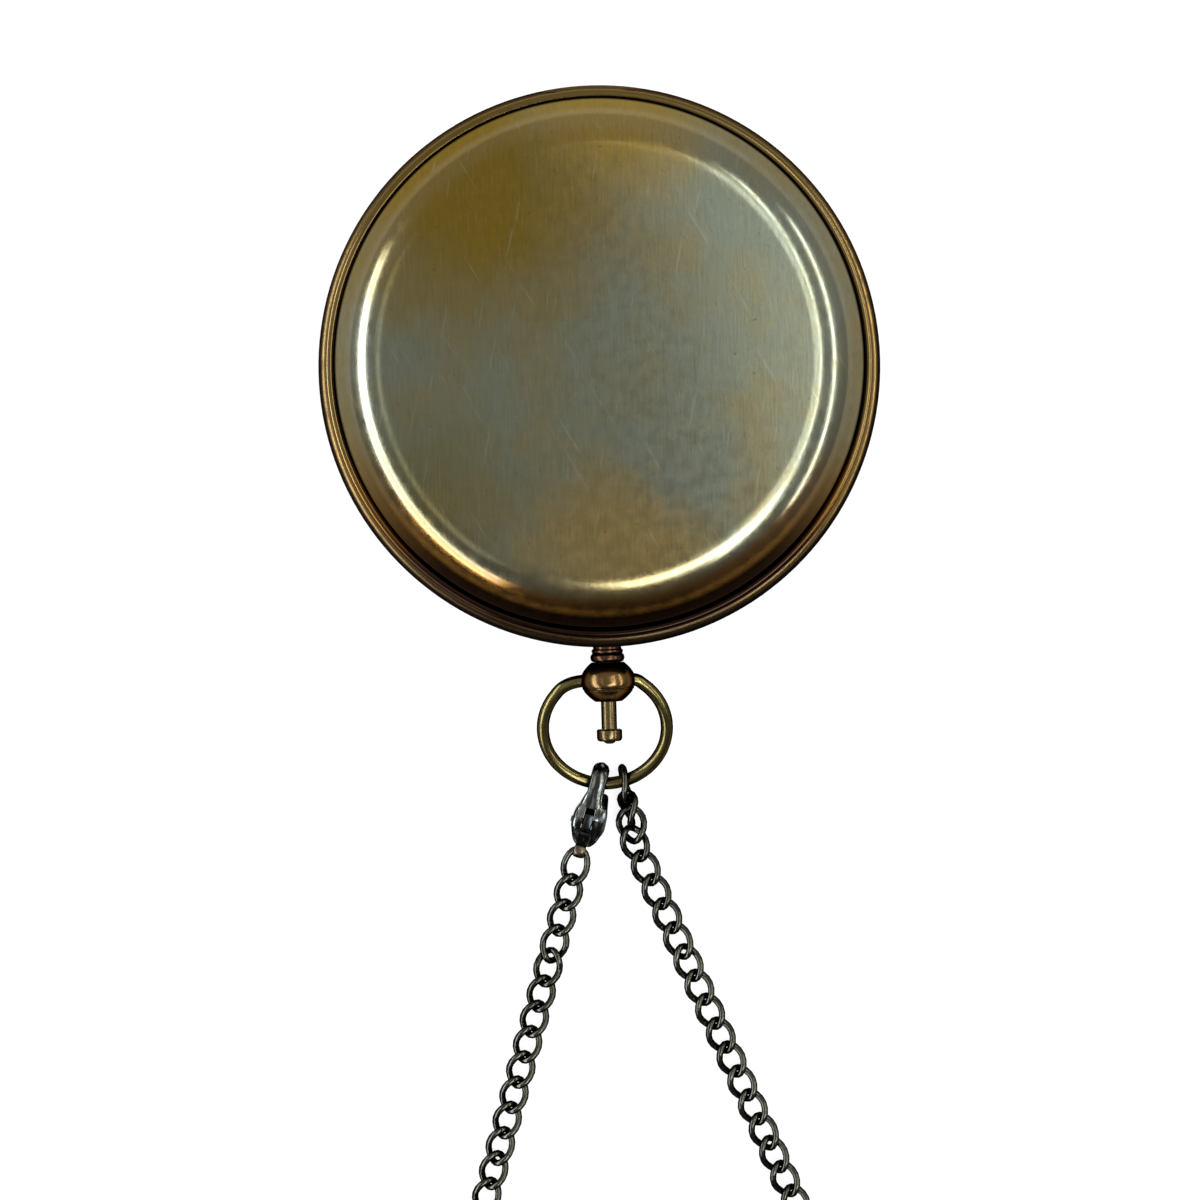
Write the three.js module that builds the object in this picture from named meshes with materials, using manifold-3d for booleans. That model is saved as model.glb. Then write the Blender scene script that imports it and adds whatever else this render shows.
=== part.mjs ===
// Pocket sundial compass: a hinged brass case with a push-pin catch, a compass under glass, a folding
// gnomon on an hour plate, and a bow ring that carries a curb chain with a lobster clasp.
// Millimetres, +Z up. The origin is the centre of the case's flat back, the pendant points to -Y and the
// lid's hinge is at +Y.
import * as THREE from "three";
import { mergeVertices } from "three/addons/utils/BufferGeometryUtils.js";
import Module from "manifold-3d";

const wasm = await Module();
wasm.setup();

// Case and lid; the radii step in from the rim
const rimRadius = 37.5;
const caseBeadReach = 1.9;
const caseSideWall = 1.6;
const caseShoulderReach = 8.1;
const caseDepth = 11.6;
const caseWall = 1.2;
const caseLand = 0.4;
const caseBeadHeight = 2.2;
const caseShoulderDrop = 4.4;
const lidRimStep = 1.2;
const lidBeadWidth = 1.5;
const lidShoulderReach = 7.3;
const lidHeight = 7.6;
const lidCrown = 0.35;
const lidWall = 1.0;
const lidBeadHeight = 2.1;
const panFootHeight = 1.2;

// Hinge
const hingeInset = 0.7;
const knuckleRadius = 0.8;
const knuckleLength = 3.9;
const knuckleGap = 0.2;
const hingePinRadius = 0.4;

// Compass
const dialWidth = 9.6;
const bowlFloor = 1.2;
const bowlRimWall = 1.1;
const flangeThickness = 0.6;
const cardThickness = 0.3;
const wellDepth = 3.4;
const glassThickness = 1.2;
const glassLedge = 1.0;
const pivotRadius = 0.8;
const pivotHeight = 2.0;
const needleTipGap = 3.9;
const needleHalfWidth = 3.0;
const needleThickness = 0.35;
const needleCapRadius = 1.8;
const needleCapHeight = 1.5;

// Hour plate and gnomon
const plateDrop = 0.7;
const plateThickness = 0.8;
const plateLip = 0.6;
const screwHeadRadius = 1.5;
const screwHeadHeight = 0.5;
const screwRadius = 0.7;
const screwCount = 4;
const lugThickness = 1.0;
const lugWidth = 2.2;
const gnomonAxisHeight = 0.95;
const gnomonTabWidth = 1.7;
const gnomonThickness = 0.7;
const gnomonPinRadius = 0.35;
const gnomonLugStep = 0.95;
const gnomonBaseLift = 1.4;
const gnomonTipStep = 3.1;
const gnomonLatitude = 37.2;
const gnomonToe = 1.0;
const gnomonFrame = 2.6;

// Lift spring
const springWidth = 5.0;
const springThickness = 0.35;
const springFootLength = 3.6;
const springRise = 2.2;
const springTipStep = 2.1;

// Pendant, push pin and catch
const pendantDrop = 3.4;
const neckRadius = 1.9;
const neckShow = 0.8;
const collarRadius = 2.3;
const collarLength = 1.2;
const ballRadius = 3.72;
const ballEndRadius = 2.4;
const ballLength = 5.25;
const pinRadius = 1.05;
const pinFlangeRadius = 1.5;
const pinFlangeLength = 0.6;
const pinShow = 3.7;
const pinHeadRadius = 1.72;
const pinHeadLength = 1.65;
const tenonRadius = 0.5;
const rivetRadius = 0.8;
const rivetLength = 0.3;
const springBoreRadius = 1.75;
const coilWire = 0.36;
const coilTurns = 5;
const hookThickness = 0.8;
const hookHalfWidth = 2.1;
const hookNose = 1.0;
const hookNoseHeight = 0.6;
const catchHeight = 0.5;
const pushTravel = 1.5;

// Bow
const bowRadius = 8.4;
const bowWireRadius = 0.85;
const bowReach = 7.2;
const bowPlay = -0.6;
const bowPivotSetback = 2.45;
const bowStubEnd = 2.3;

// Clasp, along its length from the eye and up from the table
const claspWirePlace = 9.55;
const claspWireHeight = 2.05;
const claspCrossAngle = -8.2;
const claspLean = 16.5;
const claspFoot = 0.1;
const claspHookRadius = 2.35;
const claspHookPlace = 10.2;
const claspBand = 0.95;
const claspTipPlace = 8.25;
const claspGatePlace = 5.85;
const claspTailPlace = 1.2;
const claspTailHeight = 2.4;
const claspHookHalfWidth = 1.15;
const claspBellyHalfWidth = 2.55;
const claspFlankShare = 0.8;
const claspThroatShare = 0.55;
const claspNoseShare = 0.6;
const claspTailHalfWidth = 0.9;
const claspEyeHeight = 1.25;
const claspEyeRadius = 1.15;
const claspEyeHole = 0.75;
const claspEyeHalfWidth = 0.5;
const claspStemRadius = 0.4;
const leverHalfWidth = 0.65;
const leverPivotPlace = 3.9;
const leverPivotHeight = 1.2;
const leverPinRadius = 0.4;
const leverArm = 0.75;
const leverTabStart = 3.0;
const leverTabEnd = 3.8;
const leverTabHeight = 4.1;
const leverSlotStart = 1.9;

// Chain
const linkWireRadius = 0.46;
const linkHalfLength = 2.3;
const linkHalfWidth = 1.46;
const linkPitch = 3.61;
const linkTwist = 50.0;
const linkSlack = 0.18;
const weldRadius = 0.34;
const linkSteps = 10;
const linkSides = 4;
const chainHeight = 1.05;
const leftLean = 16.65;
const rightLean = 22.5;
const eyeLinkReach = 2.448;
const leftLeadLinks = 4;
const rightLeadLinks = 5;
const loopLinks = 67;
const loopPieces = 8;
const endLinkAngle = 17.0;
const endLinkReach = 0.6;
const endLinkHalfWidth = 1.75;
const endLinkRoll = 90.0;
const looseLean = 7.95;
const looseLinkTwist = 30.0;
const looseLinkRolls = [90, 30];
const looseLinkHeights = [1.95, 1.3];
const looseLinkShares = [0.83, 0.645, 0.836];

// Clearances and facets
const seatGap = 0.05;
const slipGap = 0.1;
const looseGap = 0.3;
const roundSides = 48;
const shoulderSteps = 6;
const beadSteps = 6;
const hookSteps = 8;
const bowKnots = 20;
const bowSteps = 44;
const bowSides = 4;
const coilSteps = 8;
const coilSides = 3;
const smallSides = 20;
const screwSides = 12;

const brass = [0x8a7a3c, 0.35, 1.0];
const agedBrass = [0x6d5226, 0.4, 1.0];
const steel = [0x9a9a94, 0.3, 1.0];
const gunmetal = [0x2c2c28, 0.35, 1.0];
const paper = [0xe8dcc0, 0.9, 0.0];
const clear = [0xe8f0f0, 0.05, 0.0];
const blued = [0x203a70, 0.3, 1.0];

const part = new THREE.Group();
const radians = THREE.MathUtils.degToRad;
const points = (list) => list.map(([a, b]) => new THREE.Vector2(a, b));
const union = (solids) => solids.reduce((whole, next) => whole.add(next));
const cutFrom = (body, cuts) => cuts.reduce((rest, cut) => rest.subtract(cut), body);

// A closed geometry as a solid, turned the right way out.
function solid(geometry) {
  const bare = geometry.clone();
  bare.deleteAttribute("normal");
  bare.deleteAttribute("uv");
  const merged = mergeVertices(bare, 1e-4);
  const vertProperties = merged.attributes.position.array;
  const triVerts = new Uint32Array(merged.index.array);
  const made = new wasm.Manifold(new wasm.Mesh({ numProp: 3, vertProperties, triVerts }));
  if (made.volume() >= 0) return made;
  return new wasm.Manifold(new wasm.Mesh({ numProp: 3, vertProperties, triVerts: triVerts.reverse() }));
}

// A solid as a named mesh of the part.
function add(name, body, [color, roughness, metalness]) {
  const data = body.getMesh();
  const geometry = new THREE.BufferGeometry();
  geometry.setAttribute("position", new THREE.BufferAttribute(data.vertProperties, 3));
  geometry.setIndex(new THREE.BufferAttribute(data.triVerts, 1));
  geometry.computeVertexNormals();
  const mesh = new THREE.Mesh(geometry, new THREE.MeshStandardMaterial({ color, roughness, metalness }));
  mesh.name = name;
  part.add(mesh);
}

// A closed profile of radius and height, turned about an upright axis.
function turned(profile, sides = roundSides, [x, y] = [0, 0]) {
  const outline = points([...profile, profile[0]]);
  return solid(new THREE.LatheGeometry(outline, sides).rotateX(Math.PI / 2).translate(x, y, 0));
}

// A closed profile of radius and distance from the case's axis, turned about the pendant's axis.
function turnedOnPendant(profile) {
  const outline = points([...profile, profile[0]].map(([radius, reach]) => [radius, -reach]));
  return solid(new THREE.LatheGeometry(outline, smallSides).translate(0, 0, pendantHeight));
}

// Round bars along the three axes.
function barX(radius, fromX, toX, y, z) {
  const geometry = new THREE.CylinderGeometry(radius, radius, toX - fromX, smallSides);
  return solid(geometry.rotateZ(Math.PI / 2).translate((fromX + toX) / 2, y, z));
}

function barY(radius, fromY, toY, x, z) {
  const geometry = new THREE.CylinderGeometry(radius, radius, toY - fromY, smallSides);
  return solid(geometry.translate(x, (fromY + toY) / 2, z));
}

function barZ(radius, fromZ, toZ, [x, y]) {
  const geometry = new THREE.CylinderGeometry(radius, radius, toZ - fromZ, screwSides);
  return solid(geometry.rotateX(Math.PI / 2).translate(x, y, (fromZ + toZ) / 2));
}

// A block given by its two corners.
function block(low, high) {
  const size = low.map((value, i) => high[i] - value);
  const middle = low.map((value, i) => (value + high[i]) / 2);
  return solid(new THREE.BoxGeometry(...size).translate(...middle));
}

// A flat shape with a thickness, centred on its own plane.
function sheet(shape, thickness) {
  const options = { depth: thickness, bevelEnabled: false };
  return new THREE.ExtrudeGeometry(shape, options).translate(0, 0, -thickness / 2);
}

// A wire along an open curve.
function wire(curve, radius, steps, sides) {
  const section = new THREE.Shape();
  section.absarc(0, 0, radius, 0, 2 * Math.PI);
  const options = { steps, bevelEnabled: false, extrudePath: curve, curveSegments: sides };
  return solid(new THREE.ExtrudeGeometry(section, options));
}

// Part of an ellipse between two turns in degrees, as profile points.
function arc([x, y], reach, height, fromTurn, toTurn, count) {
  return Array.from({ length: count + 1 }, (_, i) => {
    const turn = radians(fromTurn + ((toTurn - fromTurn) * i) / count);
    return [x + reach * Math.cos(turn), y + height * Math.sin(turn)];
  });
}

// Radii of the case and the lid
const caseSideRadius = rimRadius - caseBeadReach;
const caseBoreRadius = caseSideRadius - caseSideWall;
const backRadius = caseSideRadius - caseShoulderReach;
const lidRimRadius = rimRadius - lidRimStep;
const panRadius = lidRimRadius - lidBeadWidth;
const lidFlatRadius = panRadius - lidShoulderReach;
const lidInnerRadius = panRadius - lidWall;

// Levels of the stack inside the case, down from the parting plane
const plateTop = caseDepth - plateDrop;
const glassTop = plateTop - plateThickness;
const glassBottom = glassTop - glassThickness;
const cardTop = glassBottom - wellDepth;
const cardBottom = cardTop - cardThickness;
const flangeBottom = glassTop - flangeThickness;
const bowlRadius = caseBoreRadius - dialWidth;
const glassRadius = bowlRadius + glassLedge;
const bowlOuterRadius = glassRadius + slipGap + bowlRimWall;
const insertRadius = caseBoreRadius - looseGap;
const plateInnerRadius = bowlRadius - plateLip;
const screwCircleRadius = (bowlOuterRadius + insertRadius) / 2;
const screwHole = screwRadius + slipGap;
const springTipReach = insertRadius - springTipStep;
const springFootEnd = springTipReach - springRise;
const springFootStart = springFootEnd - springFootLength;

// Places along the pendant
const pendantHeight = caseDepth - pendantDrop;
const collarReach = rimRadius + neckShow;
const ballStart = collarReach + collarLength + seatGap;
const ballEnd = ballStart + ballLength;
const headStart = ballEnd + pinShow;
const headEnd = headStart + pinHeadLength;
const pinBore = pinRadius + 2 * slipGap;
const chamberEnd = ballEnd - 2 * pinFlangeLength;
const flangeEnd = chamberEnd - slipGap;
const flangeStart = flangeEnd - pinFlangeLength;

// Places of the catch: the hook's nose reaches over the lid's catch plate
const catchSeat = lidInnerRadius - slipGap;
const noseReach = catchSeat - slipGap - hookNose / 2;
const hookOuterFace = noseReach - hookNose;
const hookInnerFace = hookOuterFace - hookThickness;
const catchBottom = caseDepth + slipGap;
const noseBottom = catchBottom + catchHeight + slipGap;
const slotInnerEnd = hookInnerFace - pushTravel - looseGap;

// Places of the hinge
const hingeY = lidRimRadius - hingeInset;
const knuckleEnd = 1.5 * knuckleLength + knuckleGap;
const leafStart = 0.5 * knuckleLength + knuckleGap;
const leafHalfDepth = hingeInset - slipGap;
const hingeRecess = knuckleRadius + 1.5 * looseGap;

// The slot through the flange and the hour plate in which the catch hook moves.
function hookSlot() {
  const half = hookHalfWidth + looseGap;
  return block([-half, -rimRadius, cardTop], [half, -slotInnerEnd, caseDepth]);
}

// Places of the hour plate's screws, clear of the catch and the hinge.
const screwPlaces = Array.from({ length: screwCount }, (_, i) => {
  const angle = (2 * Math.PI * (i + 0.5)) / screwCount;
  return [screwCircleRadius * Math.cos(angle), screwCircleRadius * Math.sin(angle)];
});
const springScrewPlace = [0, (springFootStart + springFootEnd) / 2];
const allScrewPlaces = [...screwPlaces, springScrewPlace];

// Case body: a pan with a flat back, a rounded shoulder and a beaded rim.
function caseBody() {
  const beadTop = caseDepth - caseLand;
  const beadHalf = caseBeadHeight / 2;
  const sideTop = caseDepth - caseShoulderDrop;
  const corner = [backRadius, sideTop];
  const profile = [
    [0, 0],
    ...arc(corner, caseShoulderReach, sideTop, -90, 0, shoulderSteps),
    ...arc([caseSideRadius, beadTop - beadHalf], caseBeadReach, beadHalf, -90, 90, beadSteps),
    [caseSideRadius, caseDepth],
    [caseBoreRadius, caseDepth],
    ...arc(corner, caseBoreRadius - backRadius, sideTop - caseWall, 0, -90, shoulderSteps),
    [0, caseWall],
  ];
  const notch = block(
    [-knuckleEnd - looseGap, hingeY - hingeInset - looseGap, caseDepth - hingeRecess],
    [knuckleEnd + looseGap, rimRadius + looseGap, caseDepth + looseGap],
  );
  const neckHole = barY(neckRadius + slipGap, -rimRadius - looseGap, -bowlOuterRadius, 0, pendantHeight);
  return cutFrom(turned(profile), [notch, neckHole]);
}

const panFoot = caseDepth + panFootHeight;
const panRise = lidHeight - lidCrown - panFootHeight;
const ceilingReach = lidInnerRadius - lidFlatRadius;
const ceilingRise = panRise - lidWall;

// Height of the lid's inside at a distance from its axis, on its shoulder.
function lidCeiling(reach) {
  const share = (reach - lidFlatRadius) / ceilingReach;
  return panFoot + ceilingRise * Math.sqrt(1 - share * share);
}

// Lid: a domed pan with a rounded shoulder above a half-round rim bead.
function lidPan() {
  const beadHalf = lidBeadWidth / 2;
  const beadCentre = [panRadius + beadHalf, caseDepth + lidBeadHeight - beadHalf];
  const corner = [lidFlatRadius, panFoot];
  const profile = [
    [0, caseDepth + lidHeight],
    ...arc(corner, lidShoulderReach, panRise, 90, 0, shoulderSteps),
    ...arc(beadCentre, beadHalf, beadHalf, 135, 0, beadSteps / 2),
    [lidRimRadius, caseDepth + 2 * looseGap],
    [lidRimRadius - looseGap, caseDepth + slipGap],
    [lidInnerRadius, caseDepth + slipGap],
    ...arc(corner, ceilingReach, ceilingRise, 0, 90, shoulderSteps),
    [0, caseDepth + lidHeight - lidWall],
  ];
  const recess = block(
    [-knuckleEnd - looseGap, hingeY - hingeInset - looseGap, caseDepth - looseGap],
    [knuckleEnd + looseGap, rimRadius, caseDepth + hingeRecess],
  );
  return turned(profile).subtract(recess);
}

// One hinge leaf: a knuckle with the foot that is soldered to the lid (up) or to the case (down).
function hingeLeaf(fromX, toX, side) {
  const foot = caseDepth + side * (hingeRecess - seatGap);
  const low = [fromX, hingeY - leafHalfDepth, Math.min(foot, caseDepth)];
  const high = [toX, hingeY + leafHalfDepth, Math.max(foot, caseDepth)];
  const bore = barX(hingePinRadius + slipGap, fromX - looseGap, toX + looseGap, hingeY, caseDepth);
  return barX(knuckleRadius, fromX, toX, hingeY, caseDepth).add(block(low, high)).subtract(bore);
}

// Catch plate inside the lid that the hook's nose holds.
function lidCatch() {
  const low = [-hookHalfWidth, -rimRadius, catchBottom];
  const high = [hookHalfWidth, -noseReach + hookNose / 2, catchBottom + catchHeight];
  const inside = turned([
    [0, caseDepth],
    [catchSeat, caseDepth],
    [catchSeat, caseDepth + lidHeight],
    [0, caseDepth + lidHeight],
  ]);
  return block(low, high).intersect(inside);
}

add("case_body", caseBody(), agedBrass);
add("lid", lidPan(), brass);
add("lid_catch", lidCatch(), brass);
add("case_leaf_left", hingeLeaf(-knuckleEnd, -leafStart, -1), agedBrass);
add("case_leaf_right", hingeLeaf(leafStart, knuckleEnd, -1), agedBrass);
add("lid_leaf", hingeLeaf(-knuckleLength / 2, knuckleLength / 2, 1), agedBrass);
add("hinge_pin", barX(hingePinRadius, -knuckleEnd, knuckleEnd, hingeY, caseDepth), steel);

// Compass bowl: a cup on a skirt, with a glass seat in its rim and a flange that fills the case's bore.
function compassBowl() {
  const profile = [
    [0, cardBottom],
    [bowlRadius, cardBottom],
    [bowlRadius, glassBottom],
    [glassRadius + slipGap, glassBottom],
    [glassRadius + slipGap, glassTop],
    [insertRadius, glassTop],
    [insertRadius, flangeBottom],
    [bowlOuterRadius, flangeBottom],
    [bowlOuterRadius, caseWall],
    [bowlOuterRadius - bowlRimWall, caseWall],
    [bowlOuterRadius - bowlRimWall, cardBottom - bowlFloor],
    [0, cardBottom - bowlFloor],
  ];
  const holes = allScrewPlaces.map((place) => barZ(screwHole, cardTop, plateTop, place));
  return cutFrom(turned(profile), [hookSlot(), ...holes]);
}

// Compass card with the hole for the needle's pivot.
function compassCard() {
  const hole = pivotRadius + looseGap;
  return turned([
    [hole, cardBottom],
    [bowlRadius - looseGap, cardBottom],
    [bowlRadius - looseGap, cardTop],
    [hole, cardTop],
  ]);
}

const pivotTip = cardTop + pivotHeight;

// Pointed pivot that the needle turns on.
function needlePivot() {
  const profile = [
    [0, cardBottom],
    [pivotRadius, cardBottom],
    [pivotRadius, pivotTip - 2 * pivotRadius],
    [0, pivotTip],
  ];
  return turned(profile, smallSides);
}

const capBottom = pivotTip - needleCapHeight / 2;
const needleMiddle = pivotTip;

// Cap that sits on the pivot, hollowed from below.
function needleCap() {
  const profile = [
    [pivotRadius + looseGap, capBottom],
    [needleCapRadius, capBottom],
    [needleCapRadius, needleMiddle + needleThickness],
    [needleCapRadius / 2, capBottom + needleCapHeight],
    [0, capBottom + needleCapHeight],
    [0, pivotTip + slipGap],
  ];
  return turned(profile, smallSides);
}

// Lozenge needle around its cap, pointing along the pendant's axis at rest.
function needleBlade() {
  const needleHalfLength = bowlRadius - needleTipGap;
  const lozenge = [
    [0, -needleHalfLength],
    [needleHalfWidth, 0],
    [0, needleHalfLength],
    [-needleHalfWidth, 0],
  ];
  const blade = solid(sheet(new THREE.Shape(points(lozenge)), needleThickness).translate(0, 0, needleMiddle));
  return blade.subtract(
    turned(
      [
        [0, cardTop],
        [needleCapRadius + seatGap, cardTop],
        [needleCapRadius + seatGap, glassTop],
        [0, glassTop],
      ],
      smallSides,
    ),
  );
}

// Glass disc in its seat.
function compassGlass() {
  return turned([
    [0, glassBottom],
    [glassRadius, glassBottom],
    [glassRadius, glassTop],
    [0, glassTop],
  ]);
}

// Ring with the hour lines, which holds the glass down.
function hourPlate() {
  const ring = turned([
    [plateInnerRadius, glassTop],
    [insertRadius, glassTop],
    [insertRadius, plateTop],
    [plateInnerRadius, plateTop],
  ]);
  const holes = allScrewPlaces.map((place) => barZ(screwHole, cardTop, caseDepth, place));
  return cutFrom(ring, [hookSlot(), ...holes]);
}

// Screw whose head stands on a seat and whose shank ends under the flange.
function screw(place, seat) {
  const profile = [
    [0, flangeBottom],
    [screwRadius, flangeBottom],
    [screwRadius, seat],
    [screwHeadRadius, seat],
    [screwHeadRadius, seat + screwHeadHeight],
    [0, seat + screwHeadHeight],
  ];
  return turned(profile, screwSides, place);
}

add("compass_bowl", compassBowl(), brass);
add("compass_card", compassCard(), paper);
add("needle_pivot", needlePivot(), steel);
add("needle_cap", needleCap(), brass);
add("needle", needleBlade(), blued);
add("compass_glass", compassGlass(), clear);
add("hour_plate", hourPlate(), brass);
screwPlaces.forEach((place, i) => add(`plate_screw_${i + 1}`, screw(place, plateTop), brass));

// Lift spring: a bent strip that throws the lid open, drawn pressed down under the closed lid.
function liftSpring() {
  const top = plateTop + springThickness;
  const tip = lidCeiling(Math.hypot(springTipReach, springWidth / 2)) - 2 * looseGap;
  const outline = [
    [springFootStart, plateTop],
    [springFootEnd, plateTop],
    [springTipReach, tip],
    [springTipReach - springThickness, tip],
    [springFootEnd - springThickness, top],
    [springFootStart, top],
  ];
  const strip = sheet(new THREE.Shape(points(outline)), springWidth);
  strip.rotateX(Math.PI / 2).rotateZ(Math.PI / 2);
  return solid(strip).subtract(barZ(screwHole, glassTop, caseDepth, springScrewPlace));
}

add("lift_spring", liftSpring(), steel);
add("spring_screw", screw(springScrewPlace, plateTop + springThickness), brass);

// Gnomon, drawn folded flat to the right of its axis.
const gnomonZ = plateTop + gnomonAxisHeight;
const gnomonBore = gnomonPinRadius + slipGap;
const lugOuter = slotInnerEnd - gnomonLugStep - lugThickness;
const gnomonMiddle = lugOuter - slipGap - gnomonTabWidth / 2;
const lugInner = gnomonMiddle - gnomonTabWidth / 2 - slipGap - lugThickness;

// Lug that carries one end of the gnomon's pin.
function gnomonLug(reach) {
  const low = [-lugWidth / 2, -reach - lugThickness, plateTop];
  const high = [lugWidth / 2, -reach, gnomonZ + gnomonAxisHeight];
  return block(low, high).subtract(barY(gnomonBore, -rimRadius, 0, 0, gnomonZ));
}

// Triangular plate with a window; its long sloping edge casts the shadow.
function gnomonPlate() {
  const heel = lugOuter + lugThickness;
  const tabFrom = gnomonMiddle + gnomonTabWidth / 2;
  const tabTo = gnomonMiddle - gnomonTabWidth / 2;
  const bossRadius = gnomonAxisHeight - slipGap;
  const tipReach = gnomonMiddle - gnomonTipStep;
  const slope = Math.tan(radians(gnomonLatitude));
  const tipHeight = gnomonBaseLift + gnomonThickness + slope * (tipReach - gnomonToe);
  const outline = new THREE.Shape(
    points([
      [0, -tabFrom],
      [gnomonBaseLift, -tabFrom],
      [gnomonBaseLift, -heel],
      [gnomonBaseLift + gnomonFrame, -heel],
      [tipHeight, -tipReach],
      [gnomonBaseLift + gnomonThickness, -gnomonToe],
      [gnomonBaseLift, -gnomonToe],
      [gnomonBaseLift, -tabTo],
      [0, -tabTo],
    ]),
  );
  const sill = gnomonBaseLift + gnomonFrame;
  const windowToe = gnomonToe + (2 * gnomonFrame) / slope;
  const windowTop = sill + slope * (tipReach - windowToe);
  outline.holes.push(
    new THREE.Path(
      points([
        [sill, -windowToe],
        [windowTop, -tipReach],
        [sill, -tipReach],
      ]),
    ),
  );
  const plate = solid(sheet(outline, gnomonThickness).translate(0, 0, gnomonZ));
  const boss = barY(bossRadius, -tabFrom, -tabTo, 0, gnomonZ);
  return plate.add(boss).subtract(barY(gnomonBore, -tabFrom - looseGap, -tabTo + looseGap, 0, gnomonZ));
}

add("gnomon_lug_inner", gnomonLug(lugInner), brass);
add("gnomon_lug_outer", gnomonLug(lugOuter), brass);
add("gnomon_pin", barY(gnomonPinRadius, -lugOuter - lugThickness, -lugInner, 0, gnomonZ), steel);
add("gnomon", gnomonPlate(), brass);

// Pendant neck: a spigot in the case wall with a turned collar, bored for the push pin.
function pendantNeck() {
  const bevel = collarLength / 4;
  const end = collarReach + collarLength;
  return turnedOnPendant([
    [pinBore, caseBoreRadius],
    [neckRadius, caseBoreRadius],
    [neckRadius, collarReach],
    [collarRadius, collarReach + bevel],
    [collarRadius, end - bevel],
    [neckRadius, end],
    [pinBore, end],
  ]);
}

const bowY = -(ballStart + bowPivotSetback);

// Pendant ball: a barrel with a spring chamber and two side sockets for the bow.
function pendantBall() {
  const middle = [ballEndRadius, ballStart + ballLength / 2];
  const barrel = turnedOnPendant([
    [springBoreRadius, ballStart],
    ...arc(middle, ballRadius - ballEndRadius, ballLength / 2, -90, 90, beadSteps),
    [pinBore, ballEnd],
    [pinBore, chamberEnd],
    [springBoreRadius, chamberEnd],
  ]);
  const reach = bowStubEnd - slipGap;
  const socket = bowWireRadius + slipGap;
  const sockets = [
    barX(socket, -2 * ballRadius, -reach, bowY, pendantHeight),
    barX(socket, reach, 2 * ballRadius, bowY, pendantHeight),
  ];
  return cutFrom(barrel, sockets);
}

// Push pin: shaft, spring flange, and a tenon riveted over the head.
function pushPin() {
  return turnedOnPendant([
    [0, hookInnerFace],
    [pinRadius, hookInnerFace],
    [pinRadius, flangeStart],
    [pinFlangeRadius, flangeStart],
    [pinFlangeRadius, flangeEnd],
    [pinRadius, flangeEnd],
    [pinRadius, headStart],
    [tenonRadius, headStart],
    [tenonRadius, headEnd + seatGap],
    [rivetRadius, headEnd + seatGap],
    [rivetRadius / 2, headEnd + seatGap + rivetLength],
    [0, headEnd + seatGap + rivetLength],
  ]);
}

// Head of the push pin.
function pushHead() {
  const bore = tenonRadius + slipGap;
  return turnedOnPendant([
    [bore, headStart + seatGap],
    [pinHeadRadius, headStart + seatGap],
    [pinHeadRadius, headEnd - rivetLength],
    [pinHeadRadius - rivetLength, headEnd],
    [bore, headEnd],
  ]);
}

// Return spring around the pin, between the neck and the pin's flange.
class Coil extends THREE.Curve {
  getPoint(t, target = new THREE.Vector3()) {
    const turn = 2 * Math.PI * coilTurns * t;
    const radius = (pinRadius + springBoreRadius) / 2;
    const from = ballStart + coilWire;
    const reach = from + (flangeStart - coilWire - from) * t;
    return target.set(radius * Math.cos(turn), -reach, pendantHeight + radius * Math.sin(turn));
  }
}

// Catch hook: a strip on the pin's inner end that rises through the slot, with a nose at its top.
function catchHook() {
  const top = noseBottom + hookNoseHeight;
  const strip = block(
    [-hookHalfWidth, -hookOuterFace, pendantHeight - 2 * pinRadius],
    [hookHalfWidth, -hookInnerFace, top],
  );
  const nose = block([-hookHalfWidth, -noseReach, noseBottom], [hookHalfWidth, -hookInnerFace, top]);
  return strip.add(nose).subtract(barY(pinRadius + seatGap, -rimRadius, 0, 0, pendantHeight));
}

add("pendant_neck", pendantNeck(), agedBrass);
add("pendant_ball", pendantBall(), agedBrass);
add("push_pin", pushPin(), agedBrass);
add("push_head", pushHead(), agedBrass);
add("push_spring", wire(new Coil(), coilWire / 2, coilSteps * coilTurns, coilSides), steel);
add("catch_hook", catchHook(), steel);

// The bow droops until it rests in the clasp's hook.
const claspCross = radians(claspCrossAngle);
const bowDroop = Math.asin(
  (pendantHeight - claspWireHeight) / (bowReach + bowRadius * Math.cos(claspCross)),
);

// A place on the bow's plane, by its shift along X and its distance from the pivot.
function onBow(x, reach) {
  return new THREE.Vector3(x, bowY - reach * Math.cos(bowDroop), pendantHeight - reach * Math.sin(bowDroop));
}

// A point of the bow's wire centre line, by its angle from the far end.
function bowPoint(angle) {
  return onBow(bowPlay + bowRadius * Math.sin(angle), bowReach + bowRadius * Math.cos(angle));
}

// Bow: an open ring whose two ends turn in to the pendant ball.
function bowRing() {
  const endAngle = Math.PI - Math.asin((ballRadius + 2 * bowWireRadius) / bowRadius);
  const ring = Array.from({ length: bowKnots + 1 }, (_, i) => bowPoint(endAngle * ((2 * i) / bowKnots - 1)));
  const left = [onBow(-bowStubEnd, 0), onBow(-ballRadius, 0)];
  const right = [onBow(ballRadius, 0), onBow(bowStubEnd, 0)];
  const curve = new THREE.CatmullRomCurve3([...left, ...ring, ...right]);
  return wire(curve, bowWireRadius, bowSteps, bowSides);
}

add("bow", bowRing(), brass);

// The clasp stands on its edge: its length runs in the plan from the eye to the hook, its height is Z.
const claspAlong = new THREE.Vector3(Math.sin(radians(claspLean)), Math.cos(radians(claspLean)), 0);
const claspAcross = new THREE.Vector3(claspAlong.y, -claspAlong.x, 0);
const up = new THREE.Vector3(0, 0, 1);
const eyePlace = bowPoint(claspCross).addScaledVector(claspAlong, -claspWirePlace).setZ(0);
const claspFrame = new THREE.Matrix4().makeBasis(claspAlong, up, claspAcross).setPosition(eyePlace);
const claspTop = claspFoot + 2 * claspHookRadius;

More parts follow.
